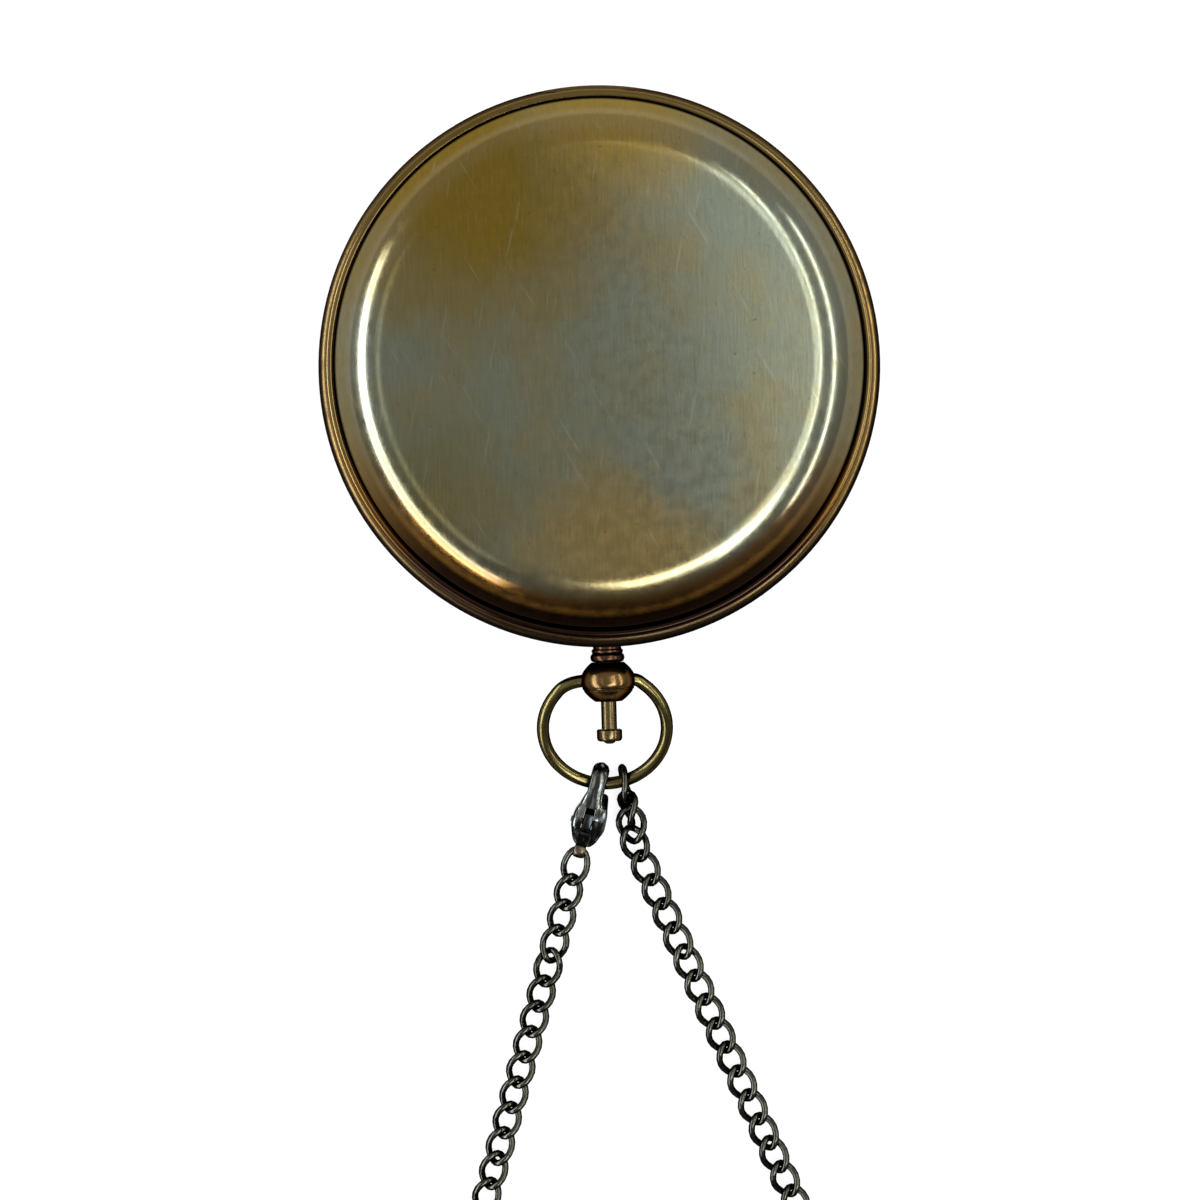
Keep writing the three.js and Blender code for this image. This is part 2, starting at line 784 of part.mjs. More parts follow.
const claspSheet = (outline, halfWidth) =>
  solid(sheet(new THREE.Shape(points(outline)), 2 * halfWidth).applyMatrix4(claspFrame));

function claspBar(radius, halfWidth, place, height) {
  const geometry = new THREE.CylinderGeometry(radius, radius, 2 * halfWidth, screwSides);
  return solid(geometry.rotateX(Math.PI / 2).translate(place, height, 0).applyMatrix4(claspFrame));
}

// A round bar along the clasp, for the eye's stem and its hole.
function claspStem(radius, from, to) {
  const geometry = new THREE.CylinderGeometry(radius, radius, to - from, screwSides);
  geometry.rotateZ(Math.PI / 2).translate((from + to) / 2, claspEyeHeight, 0);
  return solid(geometry.applyMatrix4(claspFrame));
}

// Clasp body: a hook over two cheeks, open underneath where the lever closes it.
function claspBody() {
  const ceiling = claspTop - claspBand;
  const hookMiddle = [claspHookPlace, claspFoot + claspHookRadius];
  const eyelet = claspHookRadius - claspBand;
  const side = [
    [claspTailPlace, claspFoot],
    [claspGatePlace, claspFoot],
    [claspGatePlace, ceiling - claspBand],
    [claspGatePlace + claspBand, ceiling],
    ...arc(hookMiddle, eyelet, eyelet, 90, -90, hookSteps),
    [claspTipPlace, claspFoot + claspBand],
    [claspTipPlace, claspFoot],
    ...arc(hookMiddle, claspHookRadius, claspHookRadius, -90, 90, hookSteps),
    [claspGatePlace, claspTop],
    [leverPivotPlace, claspTop - claspBand / 4],
    [claspTailPlace, claspTailHeight],
  ];
  const halfWidths = [
    [claspTailPlace, claspTailHalfWidth],
    [(claspTailPlace + leverPivotPlace) / 2, claspFlankShare * claspBellyHalfWidth],
    [leverPivotPlace, claspBellyHalfWidth],
    [claspGatePlace, claspFlankShare * claspBellyHalfWidth],
    [(claspGatePlace + claspWirePlace) / 2, claspThroatShare * claspBellyHalfWidth],
    [claspWirePlace, claspHookHalfWidth],
    [claspHookPlace + claspFlankShare * claspHookRadius, claspHookHalfWidth],
    [claspHookPlace + claspHookRadius, claspNoseShare * claspHookHalfWidth],
  ];
  const otherSide = halfWidths.map(([place, half]) => [place, -half]).reverse();
  const plan = sheet(new THREE.Shape(points([...halfWidths, ...otherSide])), 4 * claspTop);
  const slotEnd = claspGatePlace + looseGap;
  const slot = [
    [leverSlotStart, -claspTop],
    [slotEnd, -claspTop],
    [slotEnd, 2 * claspTop],
    [leverSlotStart, 2 * claspTop],
  ];
  const body = claspSheet(side, claspBellyHalfWidth).intersect(
    solid(plan.rotateX(Math.PI / 2).applyMatrix4(claspFrame)),
  );
  return cutFrom(body, [
    claspSheet(slot, leverHalfWidth + slipGap),
    claspBar(leverPinRadius + slipGap, 2 * claspBellyHalfWidth, leverPivotPlace, leverPivotHeight),
    claspStem(claspStemRadius + slipGap, 0, leverSlotStart + slipGap),
  ]);
}

// Clasp lever: a sprung gate from the hook's tip to its pivot, with a thumb tab.
function claspLever() {
  const low = claspFoot + slipGap;
  const outline = [
    [leverTabStart, low],
    [claspTipPlace - 2 * slipGap, low],
    [claspTipPlace - 2 * slipGap, low + leverArm],
    [claspGatePlace - slipGap, low + leverArm],
    [leverTabEnd + leverArm, leverPivotHeight + leverArm],
    [leverTabEnd, leverPivotHeight + 2 * leverArm],
    [leverTabEnd, leverTabHeight],
    [leverTabStart, leverTabHeight],
  ];
  const bore = claspBar(leverPinRadius + slipGap, claspBellyHalfWidth, leverPivotPlace, leverPivotHeight);
  return claspSheet(outline, leverHalfWidth).subtract(bore);
}

// Eye for the chain, with a stem pressed into the clasp's tail.
function claspEye() {
  const ring = claspBar(claspEyeRadius, claspEyeHalfWidth, 0, claspEyeHeight);
  const hole = claspBar(claspEyeHole, 2 * claspEyeHalfWidth, 0, claspEyeHeight);
  return ring.add(claspStem(claspStemRadius, 0, leverSlotStart - slipGap)).subtract(hole);
}

add("clasp_body", claspBody(), gunmetal);
add("clasp_eye", claspEye(), agedBrass);
add("clasp_lever", claspLever(), gunmetal);
const leverPinHalf = claspBellyHalfWidth - 2 * slipGap;
add("clasp_pin", claspBar(leverPinRadius, leverPinHalf, leverPivotPlace, leverPivotHeight), gunmetal);

// One curb link: an oval whose two ends are twisted opposite ways, so that links lie flat in a row.
class LinkCurve extends THREE.Curve {
  constructor(near, far, halfWidth, nearTwist, farTwist) {
    super();
    Object.assign(this, { near, far, halfWidth, nearTwist, farTwist });
  }
  getPoint(t, target = new THREE.Vector3()) {
    const along = Math.cos(2 * Math.PI * t);
    const across = this.halfWidth * Math.sin(2 * Math.PI * t);
    const tilt = along * (along > 0 ? this.farTwist : this.nearTwist);
    const half = along > 0 ? this.far : this.near;
    return target.set(half * along, across * Math.cos(tilt), across * Math.sin(tilt));
  }
}

const twist = radians(linkTwist);
const freeHalf = linkHalfLength + linkSlack;

// A link at a place, pointing along a heading and rolled about it.
function link(place, heading, shape) {
  const lengths = { near: linkHalfLength, far: linkHalfLength };
  const plain = { ...lengths, halfWidth: linkHalfWidth, twists: [twist, twist], roll: 0 };
  const { near, far, halfWidth, twists, roll } = { ...plain, ...shape };
  const side = new THREE.Vector3().crossVectors(up, heading).normalize();
  const lift = new THREE.Vector3().crossVectors(heading, side);
  const frame = new THREE.Matrix4().makeBasis(heading, side, lift).setPosition(place);
  const curve = new LinkCurve(near, far, halfWidth, ...twists);
  const ring = new THREE.TubeGeometry(curve, linkSteps, linkWireRadius, linkSides, true);
  return solid(ring.rotateX(radians(roll)).applyMatrix4(frame));
}

// A row of links that are held together by a small weld at each crossing; its two ends stay free.
function linkRow(places, headings, firstNear = freeHalf, firstTwist = twist) {
  const last = places.length - 1;
  const links = places.map((place, i) => {
    const near = i === 0 ? firstNear : linkHalfLength;
    const far = i === last ? freeHalf : linkHalfLength;
    return link(place, headings[i], { near, far, twists: [i === 0 ? firstTwist : twist, twist] });
  });
  const welds = places.slice(1).map((place, i) => {
    const middle = place.clone().add(places[i]).divideScalar(2);
    return solid(new THREE.OctahedronGeometry(weldRadius).translate(...middle));
  });
  return union([...links, ...welds]);
}

// Routes of the two strands, which leave the bow and run apart.
const leftHeading = new THREE.Vector3(-Math.sin(radians(leftLean)), -Math.cos(radians(leftLean)), 0);
const rightHeading = new THREE.Vector3(Math.sin(radians(rightLean)), -Math.cos(radians(rightLean)), 0);

// Places of a lead's links from its first one on.
function leadPlaces(start, heading, count) {
  return Array.from({ length: count }, (_, i) => start.clone().addScaledVector(heading, i * linkPitch));
}

// Lead of the left strand: its first link hangs in the clasp's eye.
const chainEye = eyePlace.clone().setZ(chainHeight);
const leftTop = chainEye.clone().addScaledVector(leftHeading, eyeLinkReach);
const leftPlaces = leadPlaces(leftTop, leftHeading, leftLeadLinks);
const leftFold = leftPlaces.at(-1).clone().addScaledVector(leftHeading, linkPitch / 2);

// Lead of the right strand: an end link on the bow and two loose links that turn the chain flat come first.
const bowCrossing = bowPoint(radians(endLinkAngle));
const looseSteps = looseLinkShares.map((share) => share * linkPitch);
const firstLooseReach = endLinkReach + looseSteps[0];
const looseReaches = [firstLooseReach, firstLooseReach + looseSteps[1]];
const looseHeading = new THREE.Vector3(Math.sin(radians(looseLean)), -Math.cos(radians(looseLean)), 0);
const rightTopReach = looseReaches[1] + looseSteps[2];
const rightTop = bowCrossing.clone().addScaledVector(looseHeading, rightTopReach).setZ(chainHeight);
const rightPlaces = leadPlaces(rightTop, rightHeading, rightLeadLinks);
const rightFold = rightPlaces.at(-1).clone().addScaledVector(rightHeading, linkPitch / 2);

const endPlace = bowCrossing.clone().addScaledVector(looseHeading, endLinkReach);
const endShape = { near: freeHalf, far: freeHalf, halfWidth: endLinkHalfWidth, roll: endLinkRoll };
add("end_link", link(endPlace, looseHeading, endShape), gunmetal);
looseReaches.forEach((reach, i) => {
  const place = bowCrossing.clone().addScaledVector(looseHeading, reach).setZ(looseLinkHeights[i]);
  const turn = { roll: looseLinkRolls[i], twists: Array(2).fill(radians(looseLinkTwist)) };
  add(`chain_link_${i + 1}`, link(place, looseHeading, turn), gunmetal);
});
const leftHeadings = Array(leftLeadLinks).fill(leftHeading);
add("chain_left_lead", linkRow(leftPlaces, leftHeadings, eyeLinkReach + slipGap, 0), gunmetal);
add("chain_right_lead", linkRow(rightPlaces, Array(rightLeadLinks).fill(rightHeading)), gunmetal);

// Size of the plan's cross product of two directions.
function crossing(a, b) {
  return a.x * b.y - a.y * b.x;
}

// The loop is a teardrop: both strands run straight until they meet one round bend.
const halfApex = radians(leftLean + rightLean) / 2;
const foldSpan = rightFold.clone().sub(leftFold);
const leftApexReach = crossing(foldSpan, rightHeading) / crossing(rightHeading, leftHeading);
const rightApexReach = crossing(foldSpan, leftHeading) / crossing(rightHeading, leftHeading);
const bendAngle = Math.PI + 2 * halfApex;
const loopLength = loopLinks * linkPitch;
const tangentReach = (loopLength + leftApexReach + rightApexReach) / (2 + Math.tan(halfApex) * bendAngle);
const bendRadius = tangentReach * Math.tan(halfApex);
const leftStraight = tangentReach - leftApexReach;
const bendLength = bendRadius * bendAngle;

// Place and heading on the loop, by the distance from the left fold.
function loopAt(distance) {
  if (distance < leftStraight) {
    return [leftFold.clone().addScaledVector(leftHeading, distance), leftHeading];
  }
  if (distance < leftStraight + bendLength) {
    const turn = (distance - leftStraight) / bendRadius;
    const inward = new THREE.Vector3(-leftHeading.y, leftHeading.x, 0);
    const place = leftFold
      .clone()
      .addScaledVector(leftHeading, leftStraight + bendRadius * Math.sin(turn))
      .addScaledVector(inward, bendRadius * (1 - Math.cos(turn)));
    return [place, leftHeading.clone().applyAxisAngle(up, turn)];
  }
  const back = rightHeading.clone().negate();
  return [rightFold.clone().addScaledVector(back, distance - loopLength), back];
}

for (let piece = 0; piece < loopPieces; piece += 1) {
  const from = Math.round((piece * loopLinks) / loopPieces);
  const to = Math.round(((piece + 1) * loopLinks) / loopPieces);
  const stops = Array.from({ length: to - from }, (_, i) => loopAt((from + i + 0.5) * linkPitch));
  const row = linkRow(
    stops.map(([place]) => place),
    stops.map(([, heading]) => heading),
  );
  add(`chain_loop_${piece + 1}`, row, gunmetal);
}

export default part;
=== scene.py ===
from math import asin, atan, cos, degrees, pi, radians, sin, sqrt, tan

import bmesh
import bpy
from mathutils import Matrix, Vector


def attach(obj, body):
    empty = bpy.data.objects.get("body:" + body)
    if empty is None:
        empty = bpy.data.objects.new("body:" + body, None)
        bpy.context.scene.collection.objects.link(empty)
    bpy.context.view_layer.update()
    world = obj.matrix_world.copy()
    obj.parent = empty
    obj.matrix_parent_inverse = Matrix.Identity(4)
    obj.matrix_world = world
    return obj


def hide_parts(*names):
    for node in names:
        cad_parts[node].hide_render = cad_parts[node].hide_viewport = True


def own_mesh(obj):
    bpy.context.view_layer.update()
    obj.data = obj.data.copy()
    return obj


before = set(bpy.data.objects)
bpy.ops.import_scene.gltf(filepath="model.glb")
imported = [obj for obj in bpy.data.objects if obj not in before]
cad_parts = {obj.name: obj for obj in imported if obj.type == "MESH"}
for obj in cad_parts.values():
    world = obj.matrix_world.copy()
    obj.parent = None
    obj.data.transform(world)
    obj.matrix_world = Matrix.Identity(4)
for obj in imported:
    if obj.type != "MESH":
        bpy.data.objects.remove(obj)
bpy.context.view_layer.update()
scene = bpy.context.scene
scene.view_settings.view_transform = "Standard"
MM = 0.001

# Studio: a plain white sweep seen from straight above, under long soft strip lights on both sides and a
# high one on the right; the room behind the camera's lower edge is dark. The sheet lies just under the
# object and is clear seen from below.
camera_data = bpy.data.cameras.new("camera")
camera_data.lens = 66.75
camera_data.sensor_width = 36.0
camera = bpy.data.objects.new("camera", camera_data)
camera.location = (-0.78 * MM, -31.18 * MM, 307.0 * MM)
camera.rotation_euler = (0.0, 0.0, radians(-1.6))
scene.collection.objects.link(camera)
scene.camera = camera


def node(tree, kind, links=(), **settings):
    made = tree.nodes.new(kind)
    for key, value in settings.items():
        setattr(made, key, value)
    for socket, source in dict(links).items():
        if isinstance(source, bpy.types.NodeSocket):
            tree.links.new(source, made.inputs[socket])
        else:
            made.inputs[socket].default_value = source
    return made


world = bpy.data.worlds.new("studio")
scene.world = world
world.use_nodes = True
sky = world.node_tree
sky.nodes.clear()
direction = node(sky, "ShaderNodeTexCoord").outputs["Generated"]
lean = node(sky, "ShaderNodeVectorMath", {0: direction, 1: (0.0, 0.45, 0.18)}, operation="DOT_PRODUCT")
level = node(sky, "ShaderNodeMath", {0: lean.outputs["Value"], 1: 0.5})
dome = node(sky, "ShaderNodeValToRGB", {"Fac": level.outputs[0]})
dome.color_ramp.elements[0].position = 0.08
dome.color_ramp.elements[0].color = (0.05, 0.05, 0.05, 1.0)
dome.color_ramp.elements[1].position = 0.95
dome.color_ramp.elements[1].color = (0.80, 0.79, 0.77, 1.0)
dome.color_ramp.elements.new(0.42).color = (0.40, 0.40, 0.40, 1.0)
dome.color_ramp.elements.new(0.68).color = (0.72, 0.73, 0.74, 1.0)
backdrop = node(sky, "ShaderNodeBackground", {"Color": dome.outputs["Color"], "Strength": 1.0})
node(sky, "ShaderNodeOutputWorld", {"Surface": backdrop.outputs["Background"]})


def soft_light(name, place, run, height, radiance, tint=(1.0, 1.0, 0.98)):
    data = bpy.data.lights.new(name, "AREA")
    data.shape = "RECTANGLE"
    data.size = run
    data.size_y = height
    data.energy = radiance * pi * run * height
    data.color = tint
    lamp = bpy.data.objects.new(name, data)
    lamp.location = place
    lamp.rotation_euler = (-Vector(place)).to_track_quat("-Z", "Y").to_euler()
    lamp.visible_camera = False
    scene.collection.objects.link(lamp)


COOL = (0.92, 1.0, 1.16)
soft_light("high_right", (0.26, 0.00, 0.52), 0.80, 0.035, 13.0)
soft_light("haze_right", (0.18, 0.02, 0.55), 0.60, 0.09, 3.8)
soft_light("haze_high_right", (0.10, 0.03, 0.55), 0.50, 0.06, 0.8)
soft_light("strip_right", (0.40, 0.02, 0.275), 0.60, 0.030, 17.0)
soft_light("high_front_right", (0.145, -0.255, 0.51), 0.30, 0.13, 11.0, (0.88, 1.0, 1.22))
soft_light("strip_left_high", (-0.40, -0.10, 0.315), 0.90, 0.024, 13.0, COOL)
soft_light("band_left", (-0.40, -0.10, 0.25), 0.90, 0.10, 6.0, COOL)
soft_light("strip_left_low", (-0.40, -0.10, 0.19), 0.90, 0.030, 16.0, COOL)
soft_light("haze_left", (-0.24, -0.04, 0.52), 0.50, 0.08, 1.0)

FLOOR_GAP = 0.05
floor_bm = bmesh.new()
floor_place = Matrix.Translation((0.0, 0.0, -FLOOR_GAP * MM))
bmesh.ops.create_grid(floor_bm, x_segments=1, y_segments=1, size=4.0, matrix=floor_place)
floor_mesh = bpy.data.meshes.new("floor")
floor_bm.to_mesh(floor_mesh)
floor = bpy.data.objects.new("floor", floor_mesh)
scene.collection.objects.link(floor)
paper = bpy.data.materials.new("white_paper")
paper.use_nodes = True
sheet = paper.node_tree
sheet.nodes.clear()
path = node(sheet, "ShaderNodeLightPath").outputs
seen = node(sheet, "ShaderNodeMath", {0: path["Is Camera Ray"], 1: path["Is Glossy Ray"]}).outputs[0]
seen = node(sheet, "ShaderNodeMath", {0: seen, 1: path["Is Transmission Ray"]}, use_clamp=True).outputs[0]
share = node(sheet, "ShaderNodeMath", {0: seen, 1: 0.80}, operation="MULTIPLY")
matt = node(sheet, "ShaderNodeBsdfDiffuse", {"Color": (0.86, 0.86, 0.86, 1.0)})
glow = node(sheet, "ShaderNodeEmission", {"Color": (1.0, 1.0, 1.0, 1.0), "Strength": 1.08})
cover = node(sheet, "ShaderNodeMixShader", {0: share.outputs[0], 1: matt.outputs[0], 2: glow.outputs[0]})
below = node(sheet, "ShaderNodeNewGeometry").outputs["Backfacing"]
clear = node(sheet, "ShaderNodeBsdfTransparent")
sided = node(sheet, "ShaderNodeMixShader", {0: below, 1: cover.outputs[0], 2: clear.outputs[0]})
node(sheet, "ShaderNodeOutputMaterial", {"Surface": sided.outputs[0]})
floor_mesh.materials.append(paper)

# Case: a pan spun from brass sheet with a flat back, a rounded shoulder and a rolled bead round its rim,
# darkened with a brown patina.
RIM, SIDE, BORE, BACK = 37.5, 35.6, 34.0, 27.5
DEPTH, WALL, LAND, BEAD, SHOULDER_DROP = 11.6, 1.2, 0.4, 2.2, 4.4
PENDANT_Z = DEPTH - 3.4
HINGE_Y, HINGE_RECESS, HINGE_GAP, KNUCKLE_END = 35.6, 1.25, 0.3, 6.05
NECK_HOLE, NECK_HOLE_END = 2.0, 26.6


def noise(tree, vector, scale, detail=4.0, roughness=0.55, stretch=(1.0, 1.0, 1.0), shift=(0.0, 0.0, 0.0)):
    place = node(tree, "ShaderNodeMapping", {"Vector": vector, "Scale": stretch, "Location": shift})
    settings = {"Vector": place.outputs[0], "Scale": scale, "Detail": detail, "Roughness": roughness}
    return node(tree, "ShaderNodeTexNoise", settings).outputs["Fac"]


def spread(tree, value, low, high, to_low=0.0, to_high=1.0):
    limits = {"Value": value, "From Min": low, "From Max": high, "To Min": to_low, "To Max": to_high}
    return node(tree, "ShaderNodeMapRange", limits, interpolation_type="SMOOTHSTEP").outputs["Result"]


def blend_colour(tree, amount, under, over):
    mix = node(tree, "ShaderNodeMix", {0: amount, 6: under, 7: over}, data_type="RGBA", blend_type="MIX")
    return mix.outputs[2]


def reckon(tree, kind, first, second=0.0):
    return node(tree, "ShaderNodeMath", {0: first, 1: second}, operation=kind).outputs[0]


def flattened(tree, place):
    level = node(tree, "ShaderNodeVectorMath", {0: place, 1: (1.0, 1.0, 0.0)}, operation="MULTIPLY")
    return level.outputs["Vector"]


def axis_radius(tree, place):
    flat = flattened(tree, place)
    return node(tree, "ShaderNodeVectorMath", {0: flat}, operation="LENGTH").outputs["Value"]


def new_group(name, inputs, outputs):
    tree = bpy.data.node_groups.new(name, "ShaderNodeTree")
    for direction_name, sockets in (("INPUT", inputs), ("OUTPUT", outputs)):
        for socket, kind in sockets:
            tree.interface.new_socket(socket, in_out=direction_name, socket_type=kind)
    return tree, tree.nodes.new("NodeGroupInput").outputs, tree.nodes.new("NodeGroupOutput").inputs


def patina_and_side_shade_group():
    tree, given, out = new_group(
        "patina_and_side_shade",
        [("Metal", "NodeSocketColor"), ("Warm", "NodeSocketColor"), ("Dark", "NodeSocketColor"),
         ("Mottle", "NodeSocketFloat"), ("Gloss", "NodeSocketFloat"), ("Painted_Side_Shade", "NodeSocketFloat")],
        [("Color", "NodeSocketColor"), ("Roughness", "NodeSocketFloat"), ("Height", "NodeSocketFloat")],
    )
    mapped = node(tree, "ShaderNodeTexCoord").outputs
    place = mapped["Object"]
    facing = node(tree, "ShaderNodeSeparateXYZ", {"Vector": mapped["Normal"]}).outputs["Z"]
    cloud = spread(tree, noise(tree, place, 90.0, 5.0, 0.6), 0.34, 0.68)
    mottle = noise(tree, place, 620.0, 6.0, 0.65)
    fine = noise(tree, place, 2600.0, 3.0, 0.6)
    tone = blend_colour(tree, cloud, given["Metal"], given["Warm"])
    spots = reckon(tree, "MULTIPLY", spread(tree, mottle, 0.48, 0.74), given["Mottle"])
    tone = blend_colour(tree, spots, tone, given["Dark"])
    pits = spread(tree, noise(tree, place, 1500.0, 2.0, 0.5, shift=(3.0, 1.0, 2.0)), 0.70, 0.78)
    pits = reckon(tree, "MULTIPLY", pits, given["Mottle"])
    tone = blend_colour(tree, pits, tone, given["Dark"])
    # Painted shade: faces that turn away from straight up are blended towards the Dark tone, standing in for
    # the shade and dark reflections on the sides of round parts.
    painted_side_shade = spread(tree, reckon(tree, "ABSOLUTE", facing), 0.40, 0.96, 1.0, 0.0)
    tone = blend_colour(tree, reckon(tree, "MULTIPLY", painted_side_shade, given["Painted_Side_Shade"]), tone, given["Dark"])
    tree.links.new(tone, out["Color"])
    rough = reckon(tree, "ADD", given["Gloss"], spread(tree, mottle, 0.3, 0.7, -0.04, 0.06))
    tree.links.new(rough, out["Roughness"])
    tree.links.new(reckon(tree, "SUBTRACT", reckon(tree, "MULTIPLY", fine, 0.5), pits), out["Height"])
    return tree


def spinning_group():
    tree, given, out = new_group(
        "spinning_lines", [("Height", "NodeSocketFloat"), ("Depth", "NodeSocketFloat")],
        [("Height", "NodeSocketFloat")])
    place = node(tree, "ShaderNodeTexCoord").outputs["Object"]
    facing = node(tree, "ShaderNodeVectorMath", {0: flattened(tree, place)}, operation="NORMALIZE")
    facing = node(tree, "ShaderNodeSeparateXYZ", {"Vector": facing.outputs["Vector"]}).outputs
    outward = reckon(tree, "MULTIPLY", axis_radius(tree, place), 7000.0)
    wound = {"X": outward, "Y": facing["X"], "Z": facing["Y"]}
    wound = node(tree, "ShaderNodeCombineXYZ", wound).outputs["Vector"]
    lines = noise(tree, wound, 1.0, 3.0, 0.6)
    lines = reckon(tree, "MULTIPLY", lines, given["Depth"])
    tree.links.new(reckon(tree, "ADD", given["Height"], lines), out["Height"])
    return tree


patina_and_side_shade = patina_and_side_shade_group()
spinning = spinning_group()


def metal_material(name, metal, warm, dark, gloss, bump, edge, mottle=0.4, spun=0.0, painted_side_shade=0.0):
    material = bpy.data.materials.new(name)
    material.use_nodes = True
    tree = material.node_tree
    surface = tree.nodes["Principled BSDF"]
    surface.inputs["Metallic"].default_value = 1.0
    surface.inputs["Specular Tint"].default_value = (*edge, 1.0)
    tones = {"Metal": (*metal, 1.0), "Warm": (*warm, 1.0), "Dark": (*dark, 1.0)}
    wear_and_shade = node(tree, "ShaderNodeGroup", {**tones, "Mottle": mottle, "Gloss": gloss, "Painted_Side_Shade": painted_side_shade},
                node_tree=patina_and_side_shade)
    tree.links.new(wear_and_shade.outputs["Color"], surface.inputs["Base Color"])
    tree.links.new(wear_and_shade.outputs["Roughness"], surface.inputs["Roughness"])
    height = wear_and_shade.outputs["Height"]
    if spun:
        lines = node(tree, "ShaderNodeGroup", {"Height": height, "Depth": spun}, node_tree=spinning)
        height = lines.outputs["Height"]
    relief = node(tree, "ShaderNodeBump", {"Height": height, "Strength": bump, "Distance": 0.00006})
    tree.links.new(relief.outputs["Normal"], surface.inputs["Normal"])
    return material, tree, wear_and_shade


def arc(centre, reach, start, end, count):
    turns = [radians(start + (end - start) * i / count) for i in range(count + 1)]
    return [(centre[0] + reach[0] * cos(t), centre[1] + reach[1] * sin(t)) for t in turns]


def turned(profile, steps=160):
    bm = bmesh.new()
    ring = [bm.verts.new((radius, 0.0, level)) for radius, level in profile]
    edges = [bm.edges.new((ring[i], ring[(i + 1) % len(ring)])) for i in range(len(ring))]
    bmesh.ops.spin(bm, geom=ring + edges, axis=(0, 0, 1), cent=(0, 0, 0), dvec=(0, 0, 0),
                   angle=2 * pi, steps=steps, use_merge=True)
    bmesh.ops.remove_doubles(bm, verts=bm.verts, dist=1e-4)
    bmesh.ops.dissolve_degenerate(bm, edges=bm.edges, dist=1e-5)
    bmesh.ops.recalc_face_normals(bm, faces=bm.faces)
    return bm


def piece(bm, name, material, body, nodes=(), crease=38.0, scale=MM):
    bmesh.ops.scale(bm, vec=(scale, scale, scale), verts=bm.verts)
    for face in bm.faces:
        face.smooth = True
    for edge in bm.edges:
        edge.smooth = len(edge.link_faces) == 2 and edge.calc_face_angle(0.0) < radians(crease)
    mesh = bpy.data.meshes.new(name)
    bm.to_mesh(mesh)
    bm.free()
    mesh.materials.append(material)
    made = bpy.data.objects.new(name, mesh)
    scene.collection.objects.link(made)
    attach(made, body)
    if nodes:
        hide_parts(*nodes)
    return made


def box_bm(low, high):
    bm = bmesh.new()
    middle = [(a + b) / 2 for a, b in zip(low, high)]
    size = [b - a for a, b in zip(low, high)]
    bmesh.ops.create_cube(bm, size=1.0, matrix=Matrix.Translation(middle) @ Matrix.Diagonal((*size, 1.0)))
    return bm


def rod_bm(radius, start, end, segments=32):
    bm = bmesh.new()
    along = Vector(end) - Vector(start)
    turn = along.to_track_quat("Z", "Y").to_matrix().to_4x4()
    place = Matrix.Translation((Vector(start) + Vector(end)) / 2) @ turn
    bmesh.ops.create_cone(bm, cap_ends=True, segments=segments, radius1=radius, radius2=radius,
                          depth=along.length, matrix=place)
    return bm


def worked(bm, changes):
    def as_object(source):
        mesh = bpy.data.meshes.new("working")
        source.to_mesh(mesh)
        source.free()
        made = bpy.data.objects.new("working", mesh)
        scene.collection.objects.link(made)
        return made

    target = as_object(bm)
    used = [target]
    for kind, settings in changes:
        change = target.modifiers.new("work", kind)
        for key, value in settings.items():
            if isinstance(value, bmesh.types.BMesh):
                value = as_object(value)
                used.append(value)
            setattr(change, key, value)
    bpy.context.view_layer.update()
    result = bmesh.new()
    result.from_object(target, bpy.context.evaluated_depsgraph_get())
    for spent in used:
        mesh = spent.data
        bpy.data.objects.remove(spent)
        bpy.data.meshes.remove(mesh)
    return result


def cut(bm, tools, operation="DIFFERENCE"):
    return worked(bm, [("BOOLEAN", dict(operation=operation, solver="EXACT", object=tool)) for tool in tools])


case_brass, case_tree, case_wear_and_shade = metal_material(
    "case_brass", metal=(0.115, 0.072, 0.026), warm=(0.150, 0.092, 0.030), dark=(0.008, 0.004, 0.003),
    gloss=0.20, bump=0.25, edge=(0.20, 0.15, 0.10), mottle=0.40, spun=0.5, painted_side_shade=0.92)
case_place = node(case_tree, "ShaderNodeTexCoord").outputs["Object"]
case_split = node(case_tree, "ShaderNodeSeparateXYZ", {"Vector": case_place}).outputs
# Painted shade: the case is blended towards near-black across its front, the side nearest the pendant, where
# its shoulder and bead would reflect the dark room.
front = spread(case_tree, case_split["Y"], -36.0 * MM, -14.0 * MM, 0.80, 0.0)
case_tone = blend_colour(case_tree, front, case_wear_and_shade.outputs["Color"], (0.016, 0.009, 0.005, 1.0))
# Painted shade: the outer edge of the bead is blended towards black, less so towards the back, standing in
# for the dark room it would reflect.
painted_edge_shade = spread(case_tree, axis_radius(case_tree, case_place), (RIM - 0.8) * MM, (RIM - 0.4) * MM)
behind = spread(case_tree, case_split["Y"], -5.0 * MM, 30.0 * MM, 0.95, 0.55)
painted_edge_shade = reckon(case_tree, "MULTIPLY", painted_edge_shade, behind)
case_tone = blend_colour(case_tree, painted_edge_shade, case_tone, (0.006, 0.004, 0.003, 1.0))
case_surface = case_tree.nodes["Principled BSDF"]
case_tree.links.new(case_tone, case_surface.inputs["Base Color"])
dull_edge = reckon(case_tree, "MULTIPLY", painted_edge_shade, 0.45)
dullness = reckon(case_tree, "ADD", case_wear_and_shade.outputs["Roughness"], dull_edge)
case_tree.links.new(dullness, case_surface.inputs["Roughness"])

